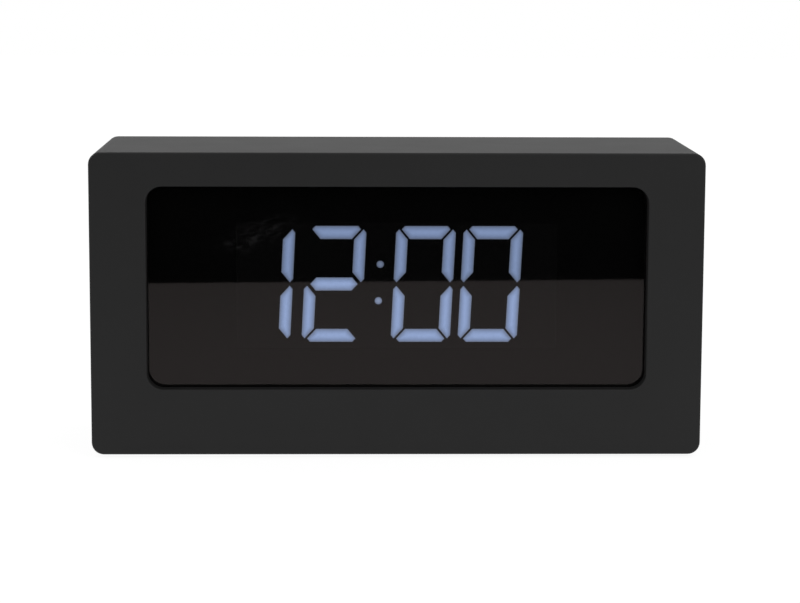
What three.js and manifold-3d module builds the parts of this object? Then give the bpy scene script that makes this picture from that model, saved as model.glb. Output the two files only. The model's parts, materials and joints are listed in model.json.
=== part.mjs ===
// A digital alarm clock: a charcoal moulded block with a sunken smoked window, a segment
// display, keys, a slide switch, a battery bay and a low-voltage socket at the back.
// Lengths are millimetres. +Z is up, the clock faces -Y and its feet stand on z = 0.

import * as THREE from 'three';
import { mergeVertices } from 'three/addons/utils/BufferGeometryUtils.js';
import Module from 'manifold-3d';

const wasm = await Module();
wasm.setup();

// Housing
const bodyWidth = 160;
const bodyHeight = 79.6;
const bodyDepth = 50;
const wallThickness = 2.4;
const cornerRadius = 3.2;
const edgeRadius = 0.55;
const cavityCornerRadius = 0.8;

// Window in the front face
const sideBezel = 14.7;
const topBezel = 8.9;
const bottomBezel = 17.4;
const windowCornerRadius = 4.2;
const recessDepth = 3.8;

// Lens and what seals it
const lensOverlap = 2;
const lensThickness = 2;
const tapeThickness = 0.3;
const tapeInset = 0.3;
const gasketThickness = 0.8;
const gasketWidth = 2.4;
const pocketClearance = 0.3;
const pocketWall = 1.6;

// Carrier behind the lens
const carrierThickness = 2;
const carrierSideGap = 2;
const carrierOverlap = 0.9;
const carrierPostRadius = 2.6;
const carrierPostInset = 3;
const carrierPostRiseShare = 0.32;
const carrierNotchGap = 0.8;

// Display module
const moduleWidth = 84;
const moduleHeight = 33.2;
const moduleDrop = 0.28;
const moduleClearance = 0.3;
const moduleFlange = 1.5;
const maskSetback = 0.15;
const maskThickness = 0.6;
const diffuserThickness = 1;
const reflectorDepth = 6.7;
const sheetCornerRadius = 0.3;
const moduleRimWall = 1.2;
const moduleRimHeight = 2.6;

// Digits, drawn upright about their own centre and then slanted
const digitHeight = 30.85;
const digitWidth = 15.7;
const digitSpacing = 17.7;
const digitRise = 0.55;
const minuteCentre = 15.8;
const hourCentre = -16.55;
const leadingEdge = -27.36;
const uprightWidth = 3.15;
const crossbarHeight = 3.5;
const tipDrop = 0.9;
const tipInset = 0.8;
const mitreGap = 0.65;
const middleMitreGap = 0.8;
const mitreRunShare = 0.87;
const waistGap = 0.86;
const digitSlant = 2.8;
const colonCentre = -4.61;
const colonRise = 0.41;
const colonSpread = 9.7;
const dotRadius = 1;

// Light wells and the chips that light them
const wellAcrossShare = 0.62;
const wellAlongShare = 0.34;
const chipWidth = 0.8;
const chipLength = 1.6;
const chipHeight = 0.6;

// Circuit boards
const boardThickness = 1.6;
const mainBoardWidth = 104;
const mainBoardHeight = 40;
const boardPostRadius = 2.8;
const boardPostInset = 4.5;
const headerGapShare = 0.275;
const headerBodyShare = 0.64;
const pinSpacing = 2.54;
const headerPins = 10;
const headerPinSide = 0.64;
const headerDrop = 12;

// Parts on the main board
const chipSide = 10;
const controllerHeight = 1.6;
const leadCount = 8;
const leadWidth = 0.5;
const leadLength = 1.2;
const leadThickness = 0.4;
const controllerX = -18;
const crystalWidth = 11;
const crystalHeight = 4.6;
const crystalThickness = 3.4;
const crystalFlange = 0.3;
const crystalX = -38;
const crystalZ = -4;
const capacitorRadius = 3.15;
const capacitorHeight = 6.8;
const capacitorX = 38;
const capacitorZ = -2;

// Screws and their bores
const screwRadius = 1;
const screwHeadRadius = 2;
const screwHeadHeight = 1.5;
const screwBite = 4.2;
const coverScrewRadius = 1.2;
const coverScrewHeadRadius = 2.5;
const coverScrewHeadHeight = 2;
const coverScrewBite = 7;
const coverPostWall = 0.8;
const boreClearance = 0.3;
const driveSlot = 0.6;

// Rear cover
const coverRecess = 1.2;
const coverThickness = 2;
const coverClearance = 0.25;
const coverBossLength = 4;
const coverBossFloor = 1.6;
const cornerPostInset = 4.6;
const ribThickness = 1.2;
const coverRibLength = 110;
const coverRibHeight = 2.5;
const coverRibInset = 1.4;

// Battery bay and its three cells
const cellRadius = 5.25;
const cellLength = 44.5;
const nubRadius = 1.9;
const nubHeight = 0.9;
const cellCount = 3;
const cellGap = 0.7;
const cellSideGap = 0.6;
const cellSeatGap = 0.3;
const cellDoorGap = 0.9;
const bayWall = 1.4;
const bayMarginShare = 0.24;
const saddleWidth = 1.2;
const saddleHeight = 2.2;

// Sprung contacts
const contactThickness = 0.4;
const contactSlack = 0.1;
const contactLip = 0.8;
const contactWidth = 8.8;
const contactWindow = 7.2;
const contactHeight = 9;
const tabWidth = 2;
const tabReach = 1.2;
const springLength = 2.9;
const springTurns = 3;
const springWireRadius = 0.25;
const springBaseRadius = 3;
const springTipRadius = 1.5;
const springSteps = 8;
const springSides = 5;

// Battery door
const doorThickness = 1.8;
const doorClearance = 0.25;
const doorLap = 0.8;
const hingeTabWidth = 8;
const hingeTabSpread = 28;
const hingeTabThickness = 1.2;
const hingeTabReach = 2;
const hingeNeck = 1.5;
const hingeGap = 0.3;
const hingeSlack = 0.4;
const latchWidth = 10;
const latchLeg = 1.2;
const latchSlit = 0.8;
const latchReach = 3.2;
const latchPad = 1.8;
const latchGap = 1;
const gripWidth = 18;
const gripHeight = 0.9;
const gripProud = 0.4;
const gripSpacing = 2.2;
const gripCount = 3;
const gripInset = 3.4;
const ledgeDepth = 1.2;
const ledgeHeight = 2;

// Keys and the board behind them
const keyBoardSideGap = 14.6;
const keyBoardHeight = 18;
const keyMarginShare = 0.36;
const keyBossLength = 10.4;
const keyBossRadius = 2.8;
const keyBossInset = 3.6;
const keyCount = 4;
const keySpacingShare = 0.111;
const keyCentreShare = -0.071;
const keyWidth = 9;
const keyHeight = 5;
const keyCornerRadius = 1.2;
const keyProud = 0.8;
const keyTravel = 0.6;
const keyFlange = 0.8;
const keyFlangeThickness = 1;
const keyBackGap = 0.4;
const keyClearance = 0.3;
const switchSide = 6;
const switchHeight = 3.5;
const plungerRadius = 1.7;
const plungerRoot = 1;
const plungerGap = 0.3;

// Slide switch
const slideShare = 0.23;
const slideTravel = 3;
const slideBodyWidth = 8.6;
const slideBodyHeight = 3.8;
const slideBodyDepth = 4;
const slideLeverWidth = 1.6;
const slideLeverHeight = 1.4;
const slideLeverRoot = 1;
const slideGripWidth = 3.6;
const slideGripHeight = 4.2;
const slideCover = 2;

// Power socket
const socketShare = 0.381;
const socketWidth = 9;
const socketHeight = 11;
const socketCollarRadius = 4;
const socketBoreRadius = 2.9;
const socketBoreDepth = 9;
const socketPinRadius = 1;
const socketPinRoot = 1.2;
const socketPinSetback = 0.8;
const socketGap = 0.3;

// Buzzer and the sound slots over it
const buzzerShare = -0.37;
const buzzerRadius = 5.5;
const buzzerHeight = 8;
const buzzerHoleRadius = 1;
const buzzerRingGap = 0.5;
const buzzerRingWall = 1.2;
const buzzerRingOverlap = 1;
const soundSlotHeight = 1.4;
const soundSlotSpacing = 2.6;
const soundSlotCount = 5;

// Feet
const footRadius = 4.5;
const footProud = 1;
const footSeat = 0.8;
const footBevel = 0.4;
const footClearance = 0.2;
const footSideInset = 14;
const footEndInset = 10;

// Wires held inside
const wireRadius = 0.6;
const ribbonWidth = 12.7;
const ribbonThickness = 0.9;
const ribbonX = -2;
const ribbonMainRise = 1;
const ribbonKeyDrop = 3;
const ribbonEaseShare = 0.7;
const wireGap = 0.3;
const wireLeadShare = 0.3;
const negativePadX = -32;
const positivePadX = 34;
const padRise = 3;

// A rounded end is just short of a half circle, so that no edge shrinks to nothing
const largestCornerShare = 0.49;

// How far a cut runs past a face, and how deep a joined piece reaches into the other
const overrun = 1;
const joinDepth = 0.3;

// Places along Y, from the front face to the rear rim
const frontFace = -bodyDepth / 2;
const rearRim = bodyDepth / 2;
const frontInner = frontFace + wallThickness;
const lensFront = frontFace + recessDepth;
const lensRear = lensFront + lensThickness;
const carrierFront = lensRear + gasketThickness;
const carrierRear = carrierFront + carrierThickness;
const maskFront = carrierFront + maskSetback;
const diffuserFront = maskFront + maskThickness;
const reflectorFront = diffuserFront + diffuserThickness;
const displayBoardFront = reflectorFront + reflectorDepth;
const headerFront = displayBoardFront + boardThickness;
const coverOuter = rearRim - coverRecess;
const coverInner = coverOuter - coverThickness;
const postEnd = coverInner - coverBossLength;
const keyBoardRear = coverInner - keyBossLength;
const keyBoardFront = keyBoardRear - boardThickness;
const doorInner = coverOuter - doorThickness;
const cellAxisY = doorInner - cellDoorGap - cellRadius;
const bayFloor = cellAxisY - cellRadius - cellSeatGap;
const spareDepth = bayFloor - bayWall - boardThickness - headerFront;
const headerGap = headerGapShare * spareDepth;
const headerBodyHeight = headerBodyShare * headerGap;
const mainBoardFront = headerFront + headerGap;
const mainBoardRear = mainBoardFront + boardThickness;

// Sizes that follow
const cavityWidth = bodyWidth - 2 * wallThickness;
const cavityHeight = bodyHeight - 2 * wallThickness;
const windowWidth = bodyWidth - 2 * sideBezel;
const windowHeight = bodyHeight - topBezel - bottomBezel;
const windowRise = (bottomBezel - topBezel) / 2;
const lensWidth = windowWidth + 2 * lensOverlap;
const lensHeight = windowHeight + 2 * lensOverlap;
const lensCornerRadius = windowCornerRadius + lensOverlap;
const pocketWidth = lensWidth + 2 * pocketClearance;
const pocketHeight = lensHeight + 2 * pocketClearance;
const pocketCornerRadius = lensCornerRadius + pocketClearance;
const carrierWidth = cavityWidth - 2 * carrierSideGap;
const carrierHeight = lensHeight + 2 * carrierOverlap;
const cornerPostX = cavityWidth / 2 - cornerPostInset;
const cornerPostZ = cavityHeight / 2 - cornerPostInset;
const coverPostRadius = coverScrewHeadRadius + boreClearance + coverPostWall;
const bodyCentre = footProud + bodyHeight / 2;
const cellSpacing = 2 * cellRadius + cellGap;
const bayHeight = cellCount * 2 * cellRadius + (cellCount - 1) * cellGap + 2 * cellSideGap;
const spareHeight = cavityHeight - bayHeight - 2 * bayWall - keyBoardHeight;
const bayCentre = bayHeight / 2 + bayWall + bayMarginShare * spareHeight - cavityHeight / 2;
const keyBoardRise = cavityHeight / 2 - keyMarginShare * spareHeight - keyBoardHeight / 2;
const keyBoardWidth = cavityWidth - 2 * keyBoardSideGap;
const socketX = socketShare * keyBoardWidth;
const buzzerX = buzzerShare * keyBoardWidth;
const slideX = slideShare * keyBoardWidth;
const keyCentre = keyCentreShare * keyBoardWidth;
const keySpacing = keySpacingShare * keyBoardWidth;
const contactSpan = cellLength + cellSeatGap + springLength + cellSeatGap;
const bayWidth = contactSpan - 2 * contactLip - 2 * contactSlack;
const doorWidth = contactSpan + 2 * contactThickness + 2 * doorLap;
const doorHeight = bayHeight - 2 * doorClearance;

// Materials: colour, roughness and metalness of each finish
const charcoal = finish(0x29292a, 0.55, 0);
const smoked = finish(0x060607, 0.06, 0);
const blackPlastic = finish(0x141415, 0.5, 0);
const foam = finish(0x1c1c1c, 0.95, 0);
const whitePlastic = finish(0xe8e8e4, 0.6, 0);
const milky = finish(0xa9bbe6, 0.45, 0);
const boardGreen = finish(0x1d4a2c, 0.5, 0);
const nickel = finish(0xb9bcc0, 0.28, 1);
const steel = finish(0x8f9398, 0.35, 1);
const rubber = finish(0x18181a, 0.9, 0);
const cellSleeve = finish(0x3a5f8f, 0.4, 0);
const ribbonGrey = finish(0x9a9da3, 0.6, 0);
const redWire = finish(0xa32020, 0.5, 0);
const blackWire = finish(0x121212, 0.5, 0);

function finish(color, roughness, metalness) {
  return new THREE.MeshStandardMaterial({ color, roughness, metalness });
}

// Outlines, seen from the front: x to the right, y up
function roundedOutline(width, height, cornerReach) {
  const radius = Math.min(cornerReach, width * largestCornerShare, height * largestCornerShare);
  const x = width / 2 - radius;
  const y = height / 2 - radius;
  const outline = new THREE.Shape();
  outline.moveTo(-x, -y - radius);
  outline.absarc(x, -y, radius, -Math.PI / 2, 0);
  outline.absarc(x, y, radius, 0, Math.PI / 2);
  outline.absarc(-x, y, radius, Math.PI / 2, Math.PI);
  outline.absarc(-x, -y, radius, Math.PI, Math.PI * 1.5);
  return outline;
}

function ringOutline(width, height, radius, band) {
  const outline = roundedOutline(width, height, radius);
  const innerRadius = Math.max(radius - band, joinDepth);
  outline.holes.push(roundedOutline(width - 2 * band, height - 2 * band, innerRadius));
  return outline;
}

// Solids that start at y = 0 and run back along +Y
function plate(outline, thickness, steps = 3) {
  const geometry = new THREE.ExtrudeGeometry(outline, {
    depth: thickness,
    bevelEnabled: false,
    curveSegments: steps,
  });
  return geometry.rotateX(Math.PI / 2).translate(0, thickness, 0);
}

function block(width, depth, height) {
  return new THREE.BoxGeometry(width, depth, height).translate(0, depth / 2, 0);
}

function rod(radius, length, sides = 12) {
  return new THREE.CylinderGeometry(radius, radius, length, sides).translate(0, length / 2, 0);
}

function turned(profile, sides) {
  return new THREE.LatheGeometry(profile.map(([r, y]) => new THREE.Vector2(r, y)), sides);
}

// A solid between two convex outlines of as many points, from y = 0 back to y = depth
function loft(front, rear, depth) {
  const count = front.length;
  const positions = [...front.map(([x, z]) => [x, 0, z]), ...rear.map(([x, z]) => [x, depth, z])];
  const faces = [];
  for (let i = 0; i < count; i += 1) {
    const next = (i + 1) % count;
    faces.push(next, i, count + i, next, count + i, count + next);
  }
  for (let i = 1; i < count - 1; i += 1) {
    faces.push(0, i, i + 1, count, count + i + 1, count + i);
  }
  const geometry = new THREE.BufferGeometry();
  geometry.setAttribute('position', new THREE.Float32BufferAttribute(positions.flat(), 3));
  geometry.setIndex(faces);
  return geometry;
}

// Joining and cutting
function asSolid(shape) {
  if (!shape.isBufferGeometry) return shape;
  const bare = shape.clone();
  bare.deleteAttribute('normal');
  bare.deleteAttribute('uv');
  const merged = mergeVertices(bare);
  return new wasm.Manifold(new wasm.Mesh({
    numProp: 3,
    vertProperties: merged.attributes.position.array,
    triVerts: new Uint32Array(merged.index.array),
  }));
}

function fuse(first, ...others) {
  return others.flat().reduce((whole, other) => whole.add(asSolid(other)), asSolid(first));
}

function carve(first, ...cuts) {
  return cuts.flat().reduce((whole, cut) => whole.subtract(asSolid(cut)), asSolid(first));
}

function asGeometry(shape) {
  if (shape.isBufferGeometry) return shape;
  const { vertProperties, triVerts } = shape.getMesh();
  const indexed = new THREE.BufferGeometry();
  indexed.setAttribute('position', new THREE.BufferAttribute(vertProperties, 3));
  indexed.setIndex(new THREE.BufferAttribute(triVerts, 1));
  const geometry = indexed.toNonIndexed();
  geometry.computeVertexNormals();
  return geometry;
}

function addPiece(group, name, shape, material, x = 0, y = 0, z = 0) {
  const mesh = new THREE.Mesh(asGeometry(shape), material);
  mesh.name = name;
  mesh.position.set(x, y, z);
  group.add(mesh);
  return mesh;
}

// The four places that mirror one place about both middle planes
function corners(x, z) {
  return [[-x, -z], [x, -z], [-x, z], [x, z]];
}

// A self-tapping screw that points along -Y, its head seated at y = 0
function screw(radius, headRadius, headHeight, length) {
  const headBevel = headHeight / 4;
  const body = turned([
    [0, -length],
    [radius, -length + radius],
    [radius, 0],
    [headRadius, 0],
    [headRadius, headHeight - headBevel],
    [headRadius - headBevel, headHeight],
    [0, headHeight],
  ], 8);
  const slotDepth = headHeight / 2;
  const slot = block(headRadius, slotDepth + overrun, driveSlot).translate(0, headHeight - slotDepth, 0);
  return carve(body, slot);
}

// Housing: one moulding, a sleeve closed by the front frame
function housing() {
  const straight = bodyDepth - 2 * edgeRadius;
  const shell = new THREE.ExtrudeGeometry(roundedOutline(bodyWidth, bodyHeight, cornerRadius), {
    depth: straight,
    bevelThickness: edgeRadius,
    bevelSize: edgeRadius,
    bevelOffset: -edgeRadius,
    bevelSegments: 2,
    curveSegments: 4,
  }).rotateX(Math.PI / 2).translate(0, straight / 2, 0);
  const cavity = plate(roundedOutline(cavityWidth, cavityHeight, cavityCornerRadius), bodyDepth)
    .translate(0, frontInner, 0);
  const collarStart = frontFace + wallThickness / 2;
  const collarWidth = pocketWidth + 2 * pocketWall;
  const collarHeight = pocketHeight + 2 * pocketWall;
  const collar = plate(
    roundedOutline(collarWidth, collarHeight, pocketCornerRadius + pocketWall),
    lensRear - collarStart,
  ).translate(0, collarStart, windowRise);
  const pocket = plate(
    roundedOutline(pocketWidth, pocketHeight, pocketCornerRadius),
    lensRear - lensFront + tapeThickness + overrun,
  ).translate(0, lensFront - tapeThickness, windowRise);
  const aperture = plate(
    roundedOutline(windowWidth, windowHeight, windowCornerRadius),
    recessDepth + overrun, 4,
  ).translate(0, frontFace - overrun, windowRise);
  return carve(fuse(carve(shell, cavity), collar, cornerPosts(), carrierPosts()), pocket, aperture,
    cornerPostBores(), carrierPostBores(), footSeats());
}

function cornerPosts() {
  const length = postEnd - frontFace - wallThickness / 2;
  const reach = cornerPostInset + joinDepth;
  return corners(cornerPostX, cornerPostZ).flatMap(([x, z]) => [
    rod(coverPostRadius, length).translate(x, postEnd - length, z),
    block(reach, length, ribThickness).translate(x + Math.sign(x) * reach / 2, postEnd - length, z),
    block(ribThickness, length, reach).translate(x, postEnd - length, z + Math.sign(z) * reach / 2),
  ]);
}

function cornerPostBores() {
  const depth = coverScrewBite + overrun;
  return corners(cornerPostX, cornerPostZ).map(([x, z]) =>
    rod(coverScrewRadius + boreClearance, depth + overrun).translate(x, postEnd - depth, z));
}

function carrierPostPlaces() {
  return corners(carrierWidth / 2 - carrierPostInset, carrierPostRiseShare * carrierHeight);
}

function carrierPosts() {
  const start = frontFace + wallThickness / 2;
  return carrierPostPlaces().map(([x, z]) => rod(carrierPostRadius, carrierFront - start)
    .translate(x, start, z + windowRise));
}

function carrierPostBores() {
  return carrierPostPlaces().map(([x, z]) =>
    rod(screwRadius + boreClearance, screwBite + 2 * overrun, 10)
      .translate(x, carrierFront - screwBite - boreClearance, z + windowRise));
}

function footPlaces() {
  return corners(bodyWidth / 2 - footSideInset, bodyDepth / 2 - footEndInset);
}

function footSeats() {
  return footPlaces().map(([x, y]) =>
    rod(footRadius + footClearance, footSeat + overrun, 16).rotateX(Math.PI / 2)
      .translate(x, y, -bodyHeight / 2 - overrun));
}

function foot() {
  return turned([
    [0, 0],
    [footRadius - footBevel, 0],
    [footRadius, footBevel],
    [footRadius, footProud + footSeat],
    [0, footProud + footSeat],
  ], 16).rotateX(Math.PI / 2);
}

// Lens, tape and gasket
function lens() {
  return plate(roundedOutline(lensWidth, lensHeight, lensCornerRadius), lensThickness, 4);
}

function lensTape() {
  const width = lensWidth - 2 * tapeInset;
  const height = lensHeight - 2 * tapeInset;
  const band = lensOverlap - 2 * tapeInset;
  return plate(ringOutline(width, height, lensCornerRadius - tapeInset, band), tapeThickness, 2);
}

function lensGasket() {
  return plate(ringOutline(lensWidth, lensHeight, lensCornerRadius, gasketWidth), gasketThickness, 2);
}

// Carrier: plate with the display opening, four posts for the main board
function carrierBoardPosts() {
  return corners(mainBoardWidth / 2 - boardPostInset, mainBoardHeight / 2 - boardPostInset);
}

function displayCarrier() {
  const body = block(carrierWidth, carrierThickness, carrierHeight);
  const rimInner = 2 * (moduleFlange + 2 * moduleClearance);
  const rimOuter = rimInner + 2 * moduleRimWall;
  const rim = plate(
    ringOutline(moduleWidth + rimOuter, moduleHeight + rimOuter, moduleRimWall, moduleRimWall),
    moduleRimHeight + joinDepth, 1,
  ).translate(0, carrierThickness - joinDepth, -moduleDrop);
  const openingWidth = moduleWidth + 2 * moduleClearance;
  const openingHeight = moduleHeight + 2 * moduleClearance;
  const through = carrierThickness + 2 * overrun;
  const opening = plate(roundedOutline(openingWidth, openingHeight, sheetCornerRadius), through, 1)
    .translate(0, -overrun, -moduleDrop);
  const notchReach = cornerPostInset + coverPostRadius + carrierNotchGap;
  const notches = [-1, 1].map((side) => block(2 * notchReach, through, 2 * notchReach)
    .translate(side * cavityWidth / 2, -overrun, cavityHeight / 2 - windowRise));
  const holes = carrierPostPlaces().map(([x, z]) =>
    rod(screwRadius + boreClearance, through, 10).translate(x, -overrun, z));
  const postLength = mainBoardFront - carrierRear;
  const posts = carrierBoardPosts().map(([x, z]) => rod(boardPostRadius, postLength + joinDepth)
    .translate(x, carrierThickness - joinDepth, z));
  const pegs = carrierBoardPosts().filter(([x, z]) => x * z < 0).map(([x, z]) =>
    rod(screwRadius, boardThickness + 2 * joinDepth, 10)
      .translate(x, carrierThickness + postLength - joinDepth, z));
  const bores = carrierBoardPosts().filter(([x, z]) => x * z > 0).map(([x, z]) =>
    rod(screwRadius + boreClearance, screwBite + overrun + boreClearance, 10)
      .translate(x, carrierThickness + postLength - screwBite - boreClearance, z));
  return carve(fuse(carve(body, opening, notches, holes), rim, posts, pegs), bores);
}

// Segment outlines of one digit, as points about the digit's centre
function segmentOutlines() {
  const side = digitWidth / 2;
  const top = digitHeight / 2;
  const tip = side - tipInset;
  const inner = side - uprightWidth;
  const uprightTop = top - tipDrop;
  const uprightFoot = waistGap / 2;
  const mitreRise = (tip - inner) / mitreRunShare;
  const upright = [
    [side, uprightFoot + tipDrop],
    [side, uprightTop - tipDrop],
    [tip, uprightTop],
    [inner, uprightTop - mitreRise],
    [inner, uprightFoot + mitreRise],
    [tip, uprightFoot],
  ];
  const barTip = tip - mitreGap;
  const barInner = barTip - (crossbarHeight - tipDrop) * mitreRunShare;
  const crossbar = [
    [barTip, top - tipDrop],
    [barTip - tipInset, top],
    [tipInset - barTip, top],
    [-barTip, top - tipDrop],
    [-barInner, top - crossbarHeight],
    [barInner, top - crossbarHeight],
  ];
  const middleTip = tip - middleMitreGap;
  const middleInner = middleTip - crossbarHeight / 2 * mitreRunShare;
  const middle = [
    [middleTip, 0],
    [middleInner, crossbarHeight / 2],
    [-middleInner, crossbarHeight / 2],
    [-middleTip, 0],
    [-middleInner, -crossbarHeight / 2],
    [middleInner, -crossbarHeight / 2],
  ];
  const flipX = (points) => points.map(([x, z]) => [-x, z]).reverse();
  const flipZ = (points) => points.map(([x, z]) => [x, -z]).reverse();
  return {
    top: crossbar,
    upperRight: upright,
    lowerRight: flipZ(upright),
    bottom: flipZ(crossbar),
    lowerLeft: flipX(flipZ(upright)),
    upperLeft: flipX(upright),
    middle,
  };
}

// Every light opening of the display: its outline, its middle and which way its chip lies
function lightOpenings() {
  const slant = Math.tan(THREE.MathUtils.degToRad(digitSlant));
  const segments = segmentOutlines();
  const full = Object.keys(segments);
  const digits = [
    { x: leadingEdge - digitWidth / 2, names: ['upperRight', 'lowerRight'] },
    { x: hourCentre, names: full },
    { x: minuteCentre - digitSpacing / 2, names: full },
    { x: minuteCentre + digitSpacing / 2, names: full },
  ];
  const bars = digits.flatMap(({ x, names }) => names.map((name) => {
    const outline = segments[name].map(([px, pz]) => [x + px + pz * slant, pz + digitRise]);
    return { outline, middle: middleOf(outline), lying: ['top', 'middle', 'bottom'].includes(name) };
  }));
  const dots = [-1, 1].map((side) => {
    const z = side * colonSpread / 2;
    const x = colonCentre + z * slant;
    const outline = ringPoints(dotRadius, 12).map(([px, pz]) => [x + px, z + digitRise + colonRise + pz]);
    return { outline, middle: middleOf(outline), round: true };
  });
  return [...bars, ...dots];
}

function ringPoints(radius, count) {
  return Array.from({ length: count }, (_, i) => {
    const turn = 2 * Math.PI * i / count;
    return [radius * Math.cos(turn), radius * Math.sin(turn)];
  });
}

function middleOf(points) {
  const box = new THREE.Box2().setFromPoints(points.map(([x, z]) => new THREE.Vector2(x, z)));
  return box.getCenter(new THREE.Vector2()).toArray();
}

function segmentMask(openings) {
  const sheet = roundedOutline(moduleWidth, moduleHeight, sheetCornerRadius);
  openings.forEach(({ outline }) => {
    sheet.holes.push(new THREE.Path(outline.map(([x, z]) => new THREE.Vector2(x, z))));
  });
  return plate(sheet, maskThickness, 1);
}

function segmentDiffuser() {
  return plate(roundedOutline(moduleWidth, moduleHeight, sheetCornerRadius), diffuserThickness, 1);
}

// Reflector: one white moulding, a tapered well from each light opening down to its chip
function lightReflector(openings) {
  const body = block(moduleWidth, reflectorDepth, moduleHeight);
  const flangeSpan = 2 * (moduleFlange + moduleClearance);
  const flange = block(moduleWidth + flangeSpan, reflectorDepth - (carrierRear - reflectorFront),
    moduleHeight + flangeSpan).translate(0, carrierRear - reflectorFront, 0);
  const wells = openings.map(({ outline, middle: [x, z], lying, round }) => {
    const acrossX = lying ? wellAlongShare : wellAcrossShare;
    const acrossZ = lying ? wellAcrossShare : wellAlongShare;
    const share = round ? [1, 1] : [acrossX, acrossZ];
    const rear = outline.map(([px, pz]) => [x + (px - x) * share[0], z + (pz - z) * share[1]]);
    return loft(outline, rear, reflectorDepth);
  });
  return carve(fuse(body, flange), wells);
}

function displayBoard(openings) {
  const sheet = block(moduleWidth, boardThickness, moduleHeight);
  const chips = openings.map(({ middle: [x, z], lying, round }) => {
    const width = lying ? chipLength : chipWidth;
    const height = lying || round ? chipWidth : chipLength;
    return block(width, chipHeight + joinDepth, height).translate(x, -chipHeight, z);
  });
  return fuse(sheet, chips);
}

function pinHeader() {
  const places = Array.from({ length: headerPins }, (_, i) =>
    (i - (headerPins - 1) / 2) * pinSpacing);
  const strip = block(headerPins * pinSpacing, headerBodyHeight, pinSpacing);
  const pins = places.map((x) => block(headerPinSide, headerGap - headerBodyHeight + joinDepth, headerPinSide)
    .translate(x, headerBodyHeight - joinDepth, 0));
  return fuse(strip, pins);
}

// Main board and what it carries
function mainBoard() {
  const sheet = block(mainBoardWidth, boardThickness, mainBoardHeight);
  const holes = carrierBoardPosts().map(([x, z]) =>
    rod(screwRadius + boreClearance, boardThickness + 2 * overrun, 10).translate(x, -overrun, z));
  return carve(sheet, holes);
}

function controllerChip() {
  const body = block(chipSide, controllerHeight, chipSide);
  const leadSpacing = chipSide / leadCount;
  const leadRise = (chipSide + leadLength - joinDepth) / 2;
  const leads = [-1, 1].flatMap((side) => Array.from({ length: leadCount }, (_, i) =>
    block(leadWidth, leadThickness, leadLength + joinDepth)
      .translate((i - (leadCount - 1) / 2) * leadSpacing, 0, side * leadRise)));
  return fuse(body, leads);
}

function crystal() {
  const base = plate(roundedOutline(crystalWidth, crystalHeight, crystalHeight / 2), crystalFlange, 1);
  const canHeight = crystalHeight - 2 * crystalFlange;
  const can = plate(
    roundedOutline(crystalWidth - 2 * crystalFlange, canHeight, canHeight / 2), crystalThickness, 1,
  );
  return fuse(base, can);
}

function capacitor() {
  const crimp = capacitorRadius / 8;
  const grooveRise = capacitorHeight / 5;
  return turned([
    [0, 0],
    [capacitorRadius, 0],
    [capacitorRadius, grooveRise],
    [capacitorRadius - crimp, grooveRise + crimp],
    [capacitorRadius, grooveRise + crimp + crimp],
    [capacitorRadius, capacitorHeight - crimp],
    [capacitorRadius - crimp, capacitorHeight],
    [0, capacitorHeight],
  ], 12);
}

// Rear cover: plate, battery bay, key bosses, screw wells
function bayCells() {
  return Array.from({ length: cellCount }, (_, i) => ({
    z: bayCentre + (i - (cellCount - 1) / 2) * cellSpacing,
    side: i % 2 === 0 ? 1 : -1,
  }));
}

function keyPlaces() {
  return Array.from({ length: keyCount }, (_, i) => keyCentre + (i - (keyCount - 1) / 2) * keySpacing);
}

function keyBossX() {
  return keyBoardWidth / 2 - keyBossInset;
}

function rearCover() {
  const outline = roundedOutline(cavityWidth - 2 * coverClearance, cavityHeight - 2 * coverClearance,
    Math.max(cavityCornerRadius - coverClearance, joinDepth));
  const sheet = plate(outline, coverThickness).translate(0, coverInner, 0);
  const wells = corners(cornerPostX, cornerPostZ).map(([x, z]) =>
    rod(coverPostRadius, coverBossLength + joinDepth).translate(x, postEnd, z));
  const ribs = [-1, 1].map((side) => block(coverRibLength, coverRibHeight + joinDepth, ribThickness)
    .translate(0, coverInner - coverRibHeight, side * (cavityHeight / 2 - coverClearance - coverRibInset)));
  const keyBosses = [-1, 1].map((side) => rod(keyBossRadius, keyBossLength + joinDepth)
    .translate(side * keyBossX(), keyBoardRear, keyBoardRise));
  const ringHeight = keyBossLength - buzzerHeight + buzzerRingOverlap;
  const ringInner = buzzerRadius + buzzerRingGap;
  const ring = carve(
    rod(ringInner + buzzerRingWall, ringHeight + joinDepth, 20),
    rod(ringInner, ringHeight, 20).translate(0, -joinDepth, 0),
  ).translate([buzzerX, coverInner - ringHeight, keyBoardRise]);
  const moulding = fuse(sheet, wells, ribs, keyBosses, ring, bayTray());
  return carve(moulding, coverWells(), keyBossBores(), coverHoles(), bayHollow());
}

function coverWells() {
  const wellDepth = coverThickness + coverBossLength - coverBossFloor;
  return corners(cornerPostX, cornerPostZ).flatMap(([x, z]) => [
    rod(coverScrewHeadRadius + boreClearance, wellDepth + overrun).translate(x, coverOuter - wellDepth, z),
    rod(coverScrewRadius + boreClearance, coverBossFloor + 2 * overrun).translate(x, postEnd - overrun, z),
  ]);
}

function keyBossBores() {
  return [-1, 1].map((side) => rod(screwRadius + boreClearance, screwBite + boreClearance + overrun, 10)
    .translate(side * keyBossX(), keyBoardRear - overrun, keyBoardRise));
}

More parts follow.
